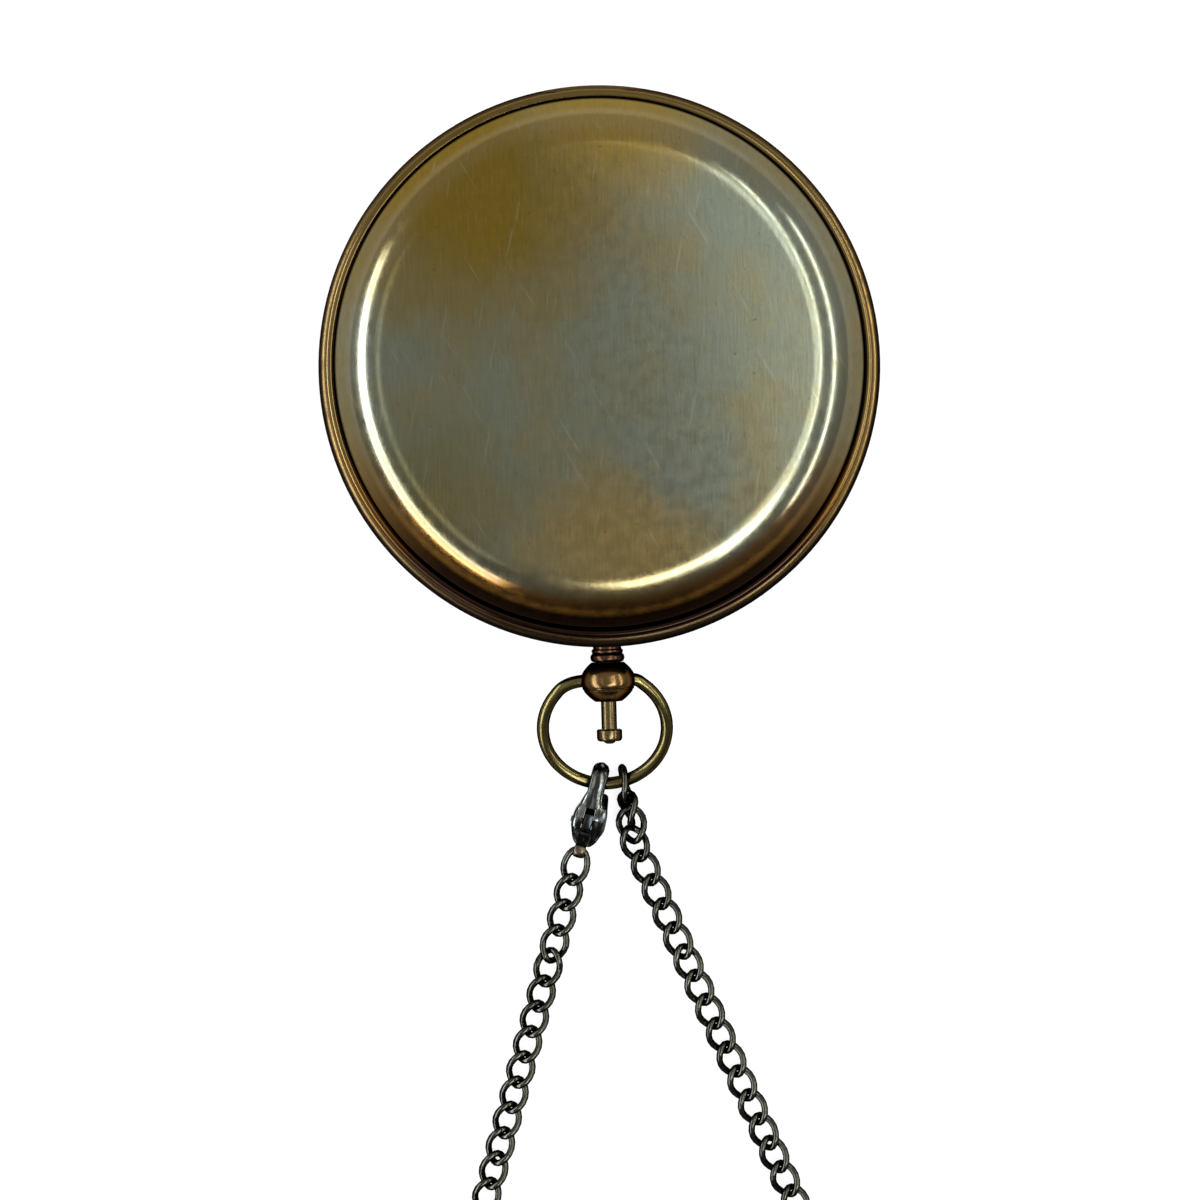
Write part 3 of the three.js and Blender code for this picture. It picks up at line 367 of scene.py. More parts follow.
side_top = DEPTH - SHOULDER_DROP
bead_top = DEPTH - LAND
bead_middle = bead_top - BEAD / 2
case_profile = (
    [(0.0, 0.0)]
    + arc((BACK, side_top), (SIDE - BACK, side_top), -90, 0, 18)
    + [(SIDE, bead_top - BEAD - 0.1)]
    + arc((SIDE, bead_middle), (RIM - SIDE, BEAD / 2), -84, 84, 16)
    + [(SIDE, bead_top + 0.05), (SIDE, DEPTH), (BORE, DEPTH)]
    + arc((BACK, side_top), (BORE - BACK, side_top - WALL), 0, -90, 12)
    + [(0.0, WALL)]
)
notch_low = (-KNUCKLE_END - HINGE_GAP, HINGE_Y - 1.0, DEPTH - HINGE_RECESS)
notch = box_bm(notch_low, (KNUCKLE_END + HINGE_GAP, RIM + HINGE_GAP, DEPTH + HINGE_GAP))
neck_hole = rod_bm(NECK_HOLE, (0, -RIM - 0.3, PENDANT_Z), (0, -NECK_HOLE_END, PENDANT_Z))
case_bm = cut(turned(case_profile), [notch, neck_hole])
piece(case_bm, "case_shell", case_brass, "case", ["case_body"])

# Lid: a spun pillow-shaped brass pan with a low crown, a steep rounded shoulder and a half-round bead,
# polished, toned unevenly to olive grey in the middle and golden brown towards the edge, and lacquered.
LID_RIM, PAN, LID_FLAT, LID_HEIGHT, CROWN = 36.3, 34.8, 27.5, 7.6, 0.35
LID_WALL, LID_BEAD, PAN_FOOT, SEAT = 1.0, 2.1, 1.2, 0.1
GROOVE_TOP, SHOULDER_END, CONE_START = 1.75, 18.0, 47.0
RAGGED = 0.010

lid_brass, lid_tree, lid_wear = metal_material(
    "lid_brass", metal=(0.143, 0.160, 0.120), warm=(0.165, 0.148, 0.080), dark=(0.055, 0.042, 0.016),
    gloss=0.17, bump=0.14, edge=(0.60, 0.50, 0.36), mottle=0.18, spun=0.5)
lid_surface = lid_tree.nodes["Principled BSDF"]
lid_surface.inputs["Coat Roughness"].default_value = 0.10
lid_place = node(lid_tree, "ShaderNodeTexCoord").outputs["Object"]


def patch(tree, place, centre, near, far):
    distance = node(tree, "ShaderNodeVectorMath", {0: place, 1: centre}, operation="DISTANCE")
    ragged = reckon(tree, "MULTIPLY", noise(tree, place, 110.0, 3.0, 0.5, shift=centre), RAGGED)
    distance = reckon(tree, "ADD", distance.outputs["Value"], ragged)
    return spread(tree, distance, near + RAGGED / 2, far + RAGGED / 2, 1.0, 0.0)


lid_tone = lid_wear.outputs["Color"]
for centre, near, far, tint, most in (
    ((-0.016, 0.023, 0.018), 0.006, 0.027, (0.160, 0.100, 0.006, 1.0), 0.95),
    ((0.004, 0.034, 0.018), 0.004, 0.018, (0.240, 0.160, 0.030, 1.0), 0.85),
    ((-0.024, -0.020, 0.018), 0.004, 0.020, (0.120, 0.096, 0.028, 1.0), 0.60),
    ((0.001, -0.026, 0.018), 0.005, 0.015, (0.215, 0.150, 0.048, 1.0), 0.85),
):
    mask = reckon(lid_tree, "MULTIPLY", patch(lid_tree, lid_place, centre, near, far), most)
    lid_tone = blend_colour(lid_tree, mask, lid_tone, tint)
brushed = noise(lid_tree, lid_place, 4200.0, 4.0, 0.6, (1.0, 0.06, 0.3))
dull_lines = spread(lid_tree, brushed, 0.46, 0.68, 0.0, 0.18)
bright_lines = spread(lid_tree, brushed, 0.30, 0.46, 0.12, 0.0)
lid_tone = blend_colour(lid_tree, dull_lines, lid_tone, (0.070, 0.056, 0.024, 1.0))
lid_tone = blend_colour(lid_tree, bright_lines, lid_tone, (0.270, 0.250, 0.170, 1.0))
for turn, shift in ((0.2, (0.0, 0.0, 0.0)), (-0.5, (2.0, 1.0, 0.0))):
    swung = node(lid_tree, "ShaderNodeMapping", {"Vector": lid_place, "Rotation": (0.0, 0.0, turn)})
    scratch = noise(lid_tree, swung.outputs[0], 2000.0, 2.0, 0.5, (1.0, 0.05, 0.2), shift)
    scratch = spread(lid_tree, scratch, 0.66, 0.74, 0.0, 0.16)
    lid_tone = blend_colour(lid_tree, scratch, lid_tone, (0.330, 0.320, 0.250, 1.0))
specks = noise(lid_tree, lid_place, 2300.0, 2.0, 0.5, shift=(1.0, 4.0, 2.0))
specks = spread(lid_tree, specks, 0.68, 0.76, 0.0, 0.5)
lid_tone = blend_colour(lid_tree, specks, lid_tone, (0.050, 0.040, 0.015, 1.0))
lid_radius = axis_radius(lid_tree, lid_place)
lacquer = spread(lid_tree, lid_radius, (LID_FLAT + 1.5) * MM, (LID_FLAT + 3.5) * MM, 0.12, 0.50)
lacquer_end = spread(lid_tree, lid_radius, (LID_FLAT + 5.1) * MM, (LID_FLAT + 6.1) * MM, 1.0, 0.15)
lacquer = reckon(lid_tree, "MULTIPLY", lacquer, lacquer_end)
lid_tree.links.new(lacquer, lid_surface.inputs["Coat Weight"])
bead_mask = spread(lid_tree, lid_radius, (PAN - 0.1) * MM, (PAN + 0.3) * MM, 0.0, 0.85)
# Painted shade: the narrow groove between the shoulder's foot and the bead is coloured near-black.
painted_groove_shade = spread(lid_tree, lid_radius, (PAN + 0.2) * MM, (PAN + 0.5) * MM, 0.9, 0.0)
groove_start = spread(lid_tree, lid_radius, (PAN - 0.35) * MM, (PAN - 0.05) * MM)
painted_groove_shade = reckon(lid_tree, "MULTIPLY", painted_groove_shade, groove_start)
lid_split = node(lid_tree, "ShaderNodeSeparateXYZ", {"Vector": lid_place}).outputs


# Blends a tint into the lid near the foot of its shoulder, weighted from front to back.
def foot_patina_and_shade(under, tint, height, fade, front, back, at_front, at_back=0.0):
    foot = (DEPTH + height) * MM
    near_foot = spread(lid_tree, lid_split["Z"], foot, foot + fade * MM, 1.0, 0.0)
    along = spread(lid_tree, lid_split["Y"], front * MM, back * MM, at_front, at_back)
    return blend_colour(lid_tree, reckon(lid_tree, "MULTIPLY", near_foot, along), under, (*tint, 1.0))


# Brown patina near the bead all round, and painted shade that grows towards the front.
lid_tone = foot_patina_and_shade(
    lid_tone, (0.165, 0.108, 0.028), height=4.6, fade=1.8, front=-30.0, back=30.0, at_front=0.60,
    at_back=0.25)
lid_tone = blend_colour(lid_tree, bead_mask, lid_tone, (0.105, 0.066, 0.018, 1.0))
lid_tone = blend_colour(lid_tree, painted_groove_shade, lid_tone, (0.008, 0.004, 0.002, 1.0))
# Painted reflection and shade: a warm brown band at the front of the shoulder's foot, and black below it.
lid_tone = foot_patina_and_shade(
    lid_tone, (0.210, 0.092, 0.010), height=5.9, fade=0.8, front=-27.0, back=-8.0, at_front=0.92)
lid_tone = foot_patina_and_shade(
    lid_tone, (0.008, 0.003, 0.002), height=4.2, fade=0.8, front=-28.0, back=-9.0, at_front=0.97)
lid_tree.links.new(lid_tone, lid_surface.inputs["Base Color"])

pan_foot = DEPTH + PAN_FOOT
flat_height = DEPTH + LID_HEIGHT - CROWN
groove_height = DEPTH + GROOVE_TOP
shoulder_reach = (PAN - 0.05 - LID_FLAT) / cos(radians(SHOULDER_END))
shoulder_rise = (flat_height - groove_height) / (1 - sin(radians(SHOULDER_END)))
shoulder = arc((LID_FLAT, flat_height - shoulder_rise), (shoulder_reach, shoulder_rise), 90, CONE_START, 24)
fall = (shoulder[-2][1] - shoulder[-1][1]) / (shoulder[-1][0] - shoulder[-2][0])
cone_end = shoulder[-1][1] - fall * (PAN - 0.25 - shoulder[-1][0])
bead_half = (LID_RIM - PAN) / 2 - 0.05
bead_centre = (LID_RIM - bead_half, DEPTH + LID_BEAD - bead_half)
lid_profile = (
    [(LID_FLAT * i / 6, DEPTH + LID_HEIGHT - CROWN * (i / 6) ** 2) for i in range(6)]
    + shoulder
    + [(PAN - 0.25, cone_end), (PAN - 0.05, cone_end - 0.2), (PAN, groove_height - 0.3)]
    + arc(bead_centre, (bead_half, bead_half), 165, 0, 14)
    + [(LID_RIM, DEPTH + 0.6), (LID_RIM - 0.3, DEPTH + SEAT), (PAN - LID_WALL, DEPTH + SEAT)]
    + arc((LID_FLAT, pan_foot), (PAN - LID_WALL - LID_FLAT, flat_height - pan_foot - LID_WALL), 0, 90, 14)
    + [(0.0, DEPTH + LID_HEIGHT - LID_WALL)]
)
recess_low = (-KNUCKLE_END - HINGE_GAP, HINGE_Y - 1.0, DEPTH - HINGE_GAP)
recess = box_bm(recess_low, (KNUCKLE_END + HINGE_GAP, RIM, DEPTH + HINGE_RECESS))
piece(cut(turned(lid_profile, 192), [recess]), "lid_pan", lid_brass, "lid", ["lid"])

# Hinge: a three-knuckle brass hinge at the back of the rim, whose leaves are soldered to the case and the
# lid, on a steel pin with rounded ends.
KNUCKLE, LEAF_START, LEAF_DEPTH, HINGE_PIN = 0.8, 2.15, 0.6, 0.4
steel, _, _ = metal_material(
    "spring_steel", metal=(0.36, 0.35, 0.33), warm=(0.42, 0.39, 0.34), dark=(0.12, 0.10, 0.08),
    gloss=0.26, bump=0.2, edge=(0.6, 0.6, 0.6), mottle=0.3)


def eased(bm, width, segments=3, angle=35.0):
    bmesh.ops.remove_doubles(bm, verts=bm.verts, dist=width / 500)
    bmesh.ops.dissolve_limit(bm, angle_limit=radians(1.0), verts=bm.verts, edges=bm.edges)
    sharp = [edge for edge in bm.edges if edge.calc_face_angle(0.0) > radians(angle)]
    bmesh.ops.bevel(bm, geom=sharp, offset=width, offset_type="OFFSET", segments=segments, profile=0.5,
                    affect="EDGES", clamp_overlap=True, material=-1)
    return bm


def hinge_leaf(name, start, end, side, body, node_name):
    foot = DEPTH + side * (HINGE_RECESS - 0.05)
    leaf_high = (end, HINGE_Y + LEAF_DEPTH, max(foot, DEPTH))
    leaf = box_bm((start, HINGE_Y - LEAF_DEPTH, min(foot, DEPTH)), leaf_high)
    knuckle = rod_bm(KNUCKLE, (start, HINGE_Y, DEPTH), (end, HINGE_Y, DEPTH))
    bore = rod_bm(HINGE_PIN + 0.1, (start - 1, HINGE_Y, DEPTH), (end + 1, HINGE_Y, DEPTH))
    bm = eased(cut(cut(knuckle, [leaf], "UNION"), [bore]), 0.06, 2)
    piece(bm, name, case_brass, body, [node_name])


hinge_leaf("hinge_leaf_left", -KNUCKLE_END, -LEAF_START, -1, "case", "case_leaf_left")
hinge_leaf("hinge_leaf_right", LEAF_START, KNUCKLE_END, -1, "case", "case_leaf_right")
hinge_leaf("hinge_leaf_lid", -LEAF_START + 0.2, LEAF_START - 0.2, 1, "lid", "lid_leaf")
pin_bm = rod_bm(HINGE_PIN, (-KNUCKLE_END, HINGE_Y, DEPTH), (KNUCKLE_END, HINGE_Y, DEPTH))
piece(eased(pin_bm, 0.12), "hinge_rod", steel, "case", ["hinge_pin"])

# Compass: a brass bowl with a cream paper card, printed with a rose, bearings and the four quarters, on its
# floor. The card's north is at the pendant.
INSERT, BOWL, BOWL_OUTER, GLASS, SCREW_CIRCLE = 33.7, 24.4, 26.6, 25.4, 30.15
PLATE_TOP, GLASS_TOP, GLASS_BOTTOM, CARD_TOP, CARD_BOTTOM = 10.9, 10.1, 8.9, 5.5, 5.2
BOWL_WALL, BOWL_FLOOR, BOWL_FLANGE, SEAT_PLAY = 1.1, 1.2, 0.6, 0.1
SLOT_HALF, SLOT_INNER, SCREW_HOLE = 2.4, 29.5, 0.8
inner_brass, _, _ = metal_material(
    "inner_brass", metal=(0.46, 0.33, 0.14), warm=(0.54, 0.40, 0.17), dark=(0.20, 0.13, 0.06),
    gloss=0.25, bump=0.15, edge=(0.6, 0.5, 0.35), mottle=0.35, spun=0.4)
screw_turns = [pi * (i + 0.5) / 2 for i in range(4)]
screw_places = [(SCREW_CIRCLE * cos(turn), SCREW_CIRCLE * sin(turn)) for turn in screw_turns]
spring_screw_place = (0.0, 27.6)


def hook_slot():
    return box_bm((-SLOT_HALF, -RIM, CARD_TOP), (SLOT_HALF, -SLOT_INNER, DEPTH))


def screw_holes():
    places = [*screw_places, spring_screw_place]
    return [rod_bm(SCREW_HOLE, (x, y, CARD_TOP), (x, y, DEPTH), 24) for x, y in places]


flange_bottom, floor_bottom = GLASS_TOP - BOWL_FLANGE, CARD_BOTTOM - BOWL_FLOOR
bowl_profile = [
    (0.0, CARD_BOTTOM), (BOWL, CARD_BOTTOM), (BOWL, GLASS_BOTTOM), (GLASS + SEAT_PLAY, GLASS_BOTTOM),
    (GLASS + SEAT_PLAY, GLASS_TOP), (INSERT, GLASS_TOP), (INSERT, flange_bottom), (BOWL_OUTER, flange_bottom),
    (BOWL_OUTER, WALL), (BOWL_OUTER - BOWL_WALL, WALL), (BOWL_OUTER - BOWL_WALL, floor_bottom),
    (0.0, floor_bottom)]
bowl_bm = cut(turned(bowl_profile, 128), [hook_slot(), *screw_holes()])
piece(bowl_bm, "compass_cup", inner_brass, "case", ["compass_bowl"])


def matt_material(name, tone, stain, roughness):
    material = bpy.data.materials.new(name)
    material.use_nodes = True
    tree = material.node_tree
    surface = tree.nodes["Principled BSDF"]
    place = node(tree, "ShaderNodeTexCoord").outputs["Object"]
    foxing = spread(tree, noise(tree, place, 160.0, 6.0, 0.65), 0.38, 0.74)
    fibre = noise(tree, place, 3200.0, 4.0, 0.6)
    shade = blend_colour(tree, foxing, (*tone, 1.0), (*stain, 1.0))
    tree.links.new(shade, surface.inputs["Base Color"])
    uneven = spread(tree, fibre, 0.3, 0.7, roughness - 0.08, roughness + 0.08)
    tree.links.new(uneven, surface.inputs["Roughness"])
    relief = node(tree, "ShaderNodeBump", {"Height": fibre, "Strength": 0.2, "Distance": 0.00004})
    tree.links.new(relief.outputs["Normal"], surface.inputs["Normal"])
    return material


card_paper = matt_material("card_paper", (0.74, 0.66, 0.48), (0.58, 0.47, 0.29), 0.62)
black_ink = matt_material("black_ink", (0.018, 0.016, 0.014), (0.045, 0.036, 0.026), 0.55)
red_ink = matt_material("red_ink", (0.30, 0.045, 0.025), (0.22, 0.05, 0.03), 0.55)
CARD_HOLE, CARD_EDGE = 1.1, BOWL - 0.3
card_profile = [
    (CARD_HOLE, CARD_BOTTOM), (CARD_EDGE, CARD_BOTTOM), (CARD_EDGE, CARD_TOP), (CARD_HOLE, CARD_TOP)]
piece(turned(card_profile, 128), "card_disc", card_paper, "case", ["compass_card"])

INK = 0.03
TICK_END, NUMBER_CIRCLE, LETTER_CIRCLE, NUMBER_SIZE, LETTER_SIZE = 22.9, 18.9, 14.6, 2.5, 3.4
ROSE_HUB, ROSE_POINTS = 1.3, ((12.6, 2.6), (9.4, 1.9))


def add_bm(bm, other):
    mesh = bpy.data.meshes.new("part")
    other.to_mesh(mesh)
    other.free()
    bm.from_mesh(mesh)
    bpy.data.meshes.remove(mesh)


def slab(outline, half, place=None):
    bm = bmesh.new()
    face = bm.faces.new([bm.verts.new((u, v, -half)) for u, v in outline])
    grown = bmesh.ops.extrude_face_region(bm, geom=[face])["geom"]
    lifted = [part for part in grown if isinstance(part, bmesh.types.BMVert)]
    bmesh.ops.translate(bm, vec=(0, 0, 2 * half), verts=lifted)
    bmesh.ops.recalc_face_normals(bm, faces=bm.faces)
    if place:
        bmesh.ops.transform(bm, matrix=place, verts=bm.verts)
    return bm


def mark_place(angle, level):
    return Matrix.Translation((0, 0, level + INK / 2)) @ Matrix.Rotation(pi - angle, 4, "Z")


def tick(bm, angle, start, end, width, level):
    half = width / 2
    outline = [(-half, start), (half, start), (half, end), (-half, end)]
    add_bm(bm, slab(outline, INK / 2, mark_place(angle, level)))


def numeral(bm, words, angle, radius, size, level):
    curve = bpy.data.curves.new("numeral", "FONT")
    curve.body = words
    curve.size = size
    curve.align_x = curve.align_y = "CENTER"
    curve.resolution_u = 3
    curve.extrude = INK / 2
    made = bpy.data.objects.new("numeral", curve)
    scene.collection.objects.link(made)
    bpy.context.view_layer.update()
    mesh = bpy.data.meshes.new_from_object(made.evaluated_get(bpy.context.evaluated_depsgraph_get()))
    mesh.transform(mark_place(angle, level) @ Matrix.Translation((0, radius, 0)))
    bm.from_mesh(mesh)
    bpy.data.objects.remove(made)
    bpy.data.curves.remove(curve)
    bpy.data.meshes.remove(mesh)


def ring_line(bm, radius, width, level):
    inner, outer = radius - width / 2, radius + width / 2
    add_bm(bm, turned([(inner, level), (outer, level), (outer, level + INK), (inner, level + INK)], 128))


card_marks = bmesh.new()
for step in range(72):
    start = 20.9 if step % 6 == 0 else 21.6 if step % 2 == 0 else 22.1
    tick(card_marks, radians(5 * step), start, TICK_END, 0.22 if step % 6 == 0 else 0.14, CARD_TOP)
for radius, width in ((23.1, 0.25), (16.6, 0.16), (6.6, 0.16)):
    ring_line(card_marks, radius, width, CARD_TOP)
for step in range(12):
    numeral(card_marks, str(30 * step), radians(30 * step), NUMBER_CIRCLE, NUMBER_SIZE, CARD_TOP)
for letter, angle in (("N", 0), ("E", 90), ("S", 180), ("W", 270)):
    numeral(card_marks, letter, radians(angle), LETTER_CIRCLE, LETTER_SIZE, CARD_TOP)
rose = bmesh.new()
for rank, (reach, waist) in enumerate(ROSE_POINTS):
    for quarter in range(4):
        place = mark_place(radians(90 * quarter + 45 * rank), CARD_TOP)
        add_bm(card_marks, slab([(0, ROSE_HUB), (waist, waist), (0, reach)], INK / 2, place))
        add_bm(rose, slab([(0, ROSE_HUB), (0, reach), (-waist, waist)], INK / 2, place))
piece(card_marks, "card_print", black_ink, "case")
piece(rose, "card_rose", red_ink, "case")

# Needle: a ridged lozenge of thin steel, its north half blued, pressed round a brass cap that turns on a
# pointed steel pivot.
NEEDLE_Z, NEEDLE_LENGTH, NEEDLE_HALF, NEEDLE_THICK, CAP = 7.5, 20.5, 3.0, 0.35, 1.8
blued_steel, _, _ = metal_material(
    "blued_steel", metal=(0.030, 0.060, 0.190), warm=(0.045, 0.085, 0.240), dark=(0.012, 0.016, 0.05),
    gloss=0.22, bump=0.12, edge=(0.5, 0.6, 0.9), mottle=0.2)


def needle_half(name, toward, finish, nodes):
    outline = [(0.0, toward * NEEDLE_LENGTH), (NEEDLE_HALF, 0.0), (-NEEDLE_HALF, 0.0)]
    bm = slab(outline, NEEDLE_THICK / 5)
    everything = [*bm.verts, *bm.edges, *bm.faces]
    bmesh.ops.bisect_plane(bm, geom=everything, dist=1e-5, plane_co=(0, 0, 0), plane_no=(1, 0, 0))
    for vertex in bm.verts:
        if abs(vertex.co.x) < 1e-4 and abs(vertex.co.y) < NEEDLE_LENGTH - 1:
            vertex.co.z = NEEDLE_THICK / 2 if vertex.co.z > 0 else -NEEDLE_THICK / 2
    bmesh.ops.translate(bm, vec=(0, 0, NEEDLE_Z), verts=bm.verts)
    hole = rod_bm(CAP + 0.05, (0, 0, NEEDLE_Z - 1), (0, 0, NEEDLE_Z + 1), 48)
    piece(cut(bm, [hole]), name, finish, "needle", nodes, 12.0)


needle_half("needle_north", -1, blued_steel, ["needle"])
needle_half("needle_south", 1, steel, ["needle"])
cap_bottom, cap_shoulder, cap_top = NEEDLE_Z - 0.75, NEEDLE_Z + NEEDLE_THICK, NEEDLE_Z + 0.75
cap_profile = (
    [(1.1, cap_bottom), (CAP, cap_bottom)]
    + arc((CAP / 2, cap_shoulder), (CAP / 2, cap_top - cap_shoulder), 0, 90, 8)
    + [(0.0, cap_top), (0.0, NEEDLE_Z + 0.1)])
piece(turned(cap_profile, 48), "needle_hub", inner_brass, "needle", ["needle_cap"])
POST = 0.8
pivot_profile = [
    (0.0, CARD_BOTTOM), (POST, CARD_BOTTOM), (POST, NEEDLE_Z - 1.6), (0.1, NEEDLE_Z - 0.1), (0.0, NEEDLE_Z)]
piece(turned(pivot_profile, 32), "needle_post", steel, "case", ["needle_pivot"])

# Glass: a clear disc with a ground edge, faintly smeared and greenish, that lies in the bowl's seat and is
# held down by the hour plate.
glass = bpy.data.materials.new("clear_glass")
glass.use_nodes = True
pane = glass.node_tree
pane_surface = pane.nodes["Principled BSDF"]
pane_surface.inputs["Transmission Weight"].default_value = 1.0
pane_surface.inputs["IOR"].default_value = 1.45
pane_place = node(pane, "ShaderNodeTexCoord").outputs["Object"]
smear = spread(pane, noise(pane, pane_place, 240.0, 4.0, 0.6), 0.45, 0.75, 0.008, 0.035)
pane.links.new(smear, pane_surface.inputs["Roughness"])
tint = blend_colour(pane, smear, (0.97, 0.99, 0.98, 1.0), (0.90, 0.95, 0.93, 1.0))
pane.links.new(tint, pane_surface.inputs["Base Color"])
glass_profile = [
    (0.0, GLASS_BOTTOM), (GLASS - 0.1, GLASS_BOTTOM), (GLASS, GLASS_BOTTOM + 0.1), (GLASS, GLASS_TOP - 0.1),
    (GLASS - 0.1, GLASS_TOP), (0.0, GLASS_TOP)]
piece(turned(glass_profile, 128), "glass_disc", glass, "case", ["compass_glass"])

# Hour plate: a brass ring screwed over the glass, with black-filled hour numerals and lines for the gnomon's
# latitude; noon is at the pendant.
LATITUDE = radians(37.2)
PLATE_INNER, HOUR_CIRCLE, HOUR_SIZE, HOUR_END = INSERT - 9.9, 26.5, 2.6, 32.9
AFTERNOON = ("I", "II", "III", "IV", "V", "VI", "VII", "VIII")
MORNING = ("XI", "X", "IX", "VIII", "VII", "VI", "V", "IV")
plate_profile = [
    (PLATE_INNER, GLASS_TOP), (INSERT, GLASS_TOP), (INSERT, PLATE_TOP - 0.15), (INSERT - 0.15, PLATE_TOP),
    (PLATE_INNER + 0.25, PLATE_TOP), (PLATE_INNER, PLATE_TOP - 0.25)]
plate_bm = cut(turned(plate_profile, 128), [hook_slot(), *screw_holes()])
piece(plate_bm, "hour_ring", inner_brass, "case", ["hour_plate"])


def hour_angle(hour):
    beyond = pi if abs(hour) > 6 else 0.0
    turn = atan(sin(LATITUDE) * tan(radians(15 * abs(hour)))) if abs(hour) != 6 else pi / 2
    return (turn + beyond) * (1 if hour > 0 else -1)


hour_marks = bmesh.new()
for half_hour in range(-16, 17):
    hour = half_hour / 2
    if abs(hour) >= 1:
        under_screw = abs(abs(degrees(hour_angle(hour))) - 45) < 4
        start = 32.0 if under_screw else 29.0 if half_hour % 2 == 0 else 31.6
        width = 0.24 if half_hour % 2 == 0 else 0.15
        tick(hour_marks, hour_angle(hour), start, HOUR_END, width, PLATE_TOP)
for side, names in ((1, AFTERNOON), (-1, MORNING)):
    for hour, words in enumerate(names, 1):
        numeral(hour_marks, words, hour_angle(side * hour), HOUR_CIRCLE, HOUR_SIZE, PLATE_TOP)
piece(hour_marks, "hour_lines", black_ink, "case")
circles = bmesh.new()
for radius, width in ((24.6, 0.18), (28.5, 0.14), (33.1, 0.18)):
    ring_line(circles, radius, width, PLATE_TOP)
piece(cut(circles, [hook_slot()]), "hour_circles", black_ink, "case")


SHANK, SCREW_HEAD, HEAD_RISE = 0.7, 1.5, 0.5


def slotted_screw(name, place, seat, node_name, turn):
    profile = [
        (0.0, flange_bottom), (SHANK, flange_bottom), (SHANK, seat), (SCREW_HEAD, seat),
        (SCREW_HEAD, seat + HEAD_RISE / 2), (1.3, seat + 0.44), (0.9, seat + HEAD_RISE),
        (0.0, seat + HEAD_RISE)]
    bm = cut(turned(profile, 48), [box_bm((-2, -0.2, seat + 0.22), (2, 0.2, seat + 1))])
    seated = Matrix.Translation((*place, 0)) @ Matrix.Rotation(turn, 4, "Z")
    bmesh.ops.transform(bm, matrix=seated, verts=bm.verts)
    piece(bm, name, inner_brass, "case", [node_name])


for index, place in enumerate(screw_places, 1):
    slotted_screw(f"ring_screw_{index}", place, PLATE_TOP, f"plate_screw_{index}", radians(37 * index))
slotted_screw("lift_spring_screw", spring_screw_place, PLATE_TOP + 0.35, "spring_screw", radians(20))

# Gnomon, catch and lift spring: a folding triangular brass plate between two lugs on a pin, the
# sheet-steel hook and spring that hold and throw the lid, and the lid's catch plate, with filed edges.
def filed(name, node_name, material, body, width):
    bm = bmesh.new()
    bm.from_mesh(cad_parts[node_name].data)
    bmesh.ops.remove_doubles(bm, verts=bm.verts, dist=1e-6)
    piece(eased(bm, width * MM), name, material, body, [node_name], 38.0, 1.0)


filed("gnomon_blade", "gnomon", inner_brass, "gnomon", 0.12)
filed("gnomon_ear_inner", "gnomon_lug_inner", inner_brass, "case", 0.15)
filed("gnomon_ear_outer", "gnomon_lug_outer", inner_brass, "case", 0.15)
filed("gnomon_rod", "gnomon_pin", steel, "case", 0.06)
filed("lid_keeper", "lid_catch", inner_brass, "lid", 0.08)
filed("hook_strip", "catch_hook", steel, "push_button", 0.08)
filed("throw_spring", "lift_spring", steel, "case", 0.05)

# Pendant: a turned neck with a round-edged collar, and a barrel-shaped ball with two fine grooves, both of
# coppery brass, screwed into the case wall.
copper_brass, copper_tree, copper_wear_and_shade = metal_material(
    "pendant_brass", metal=(0.100, 0.058, 0.022), warm=(0.130, 0.076, 0.028), dark=(0.010, 0.005, 0.003),
    gloss=0.20, bump=0.2, edge=(0.10, 0.07, 0.05), mottle=0.4, painted_side_shade=0.75)
copper_place = node(copper_tree, "ShaderNodeTexCoord").outputs["Object"]
copper_along = node(copper_tree, "ShaderNodeSeparateXYZ", {"Vector": copper_place}).outputs["Y"]
copper_tone = copper_wear_and_shade.outputs["Color"]
# Painted shade: both ends of the ball, where its shoulders turn away, are blended towards near-black.
for start, end, at_start, at_end in ((-40.1, -39.6, 0.0, 0.60), (-44.8, -44.2, 0.60, 0.0)):
    mask = spread(copper_tree, copper_along, start * MM, end * MM, at_start, at_end)
    copper_tone = blend_colour(copper_tree, mask, copper_tone, (0.010, 0.006, 0.004, 1.0))
copper_tree.links.new(copper_tone, copper_tree.nodes["Principled BSDF"].inputs["Base Color"])
# Painted shade: the collar is a much darker copy of the pendant's coppery brass, for the shade it lies in
# under the case's rim.
collar_brass_painted_shade, _, _ = metal_material(
    "collar_brass_painted_shade", metal=(0.042, 0.021, 0.012), warm=(0.060, 0.030, 0.016), dark=(0.007, 0.004, 0.003),
    gloss=0.22, bump=0.2, edge=(0.10, 0.07, 0.05), mottle=0.5, painted_side_shade=0.9)
COLLAR_START, COLLAR_END, COLLAR, NECK, PIN_BORE = 37.75, 39.5, 2.3, 1.9, 1.25
BALL_START, BALL_LENGTH, BALL, BALL_TOP, BALL_END = 39.55, 5.25, 3.72, 2.2, 1.85
BOW_Y = -42.0


def on_pendant(bm):
    bmesh.ops.rotate(bm, cent=(0, 0, 0), matrix=Matrix.Rotation(pi / 2, 3, "X"), verts=bm.verts)
    bmesh.ops.translate(bm, vec=(0, 0, PENDANT_Z), verts=bm.verts)
    return bm


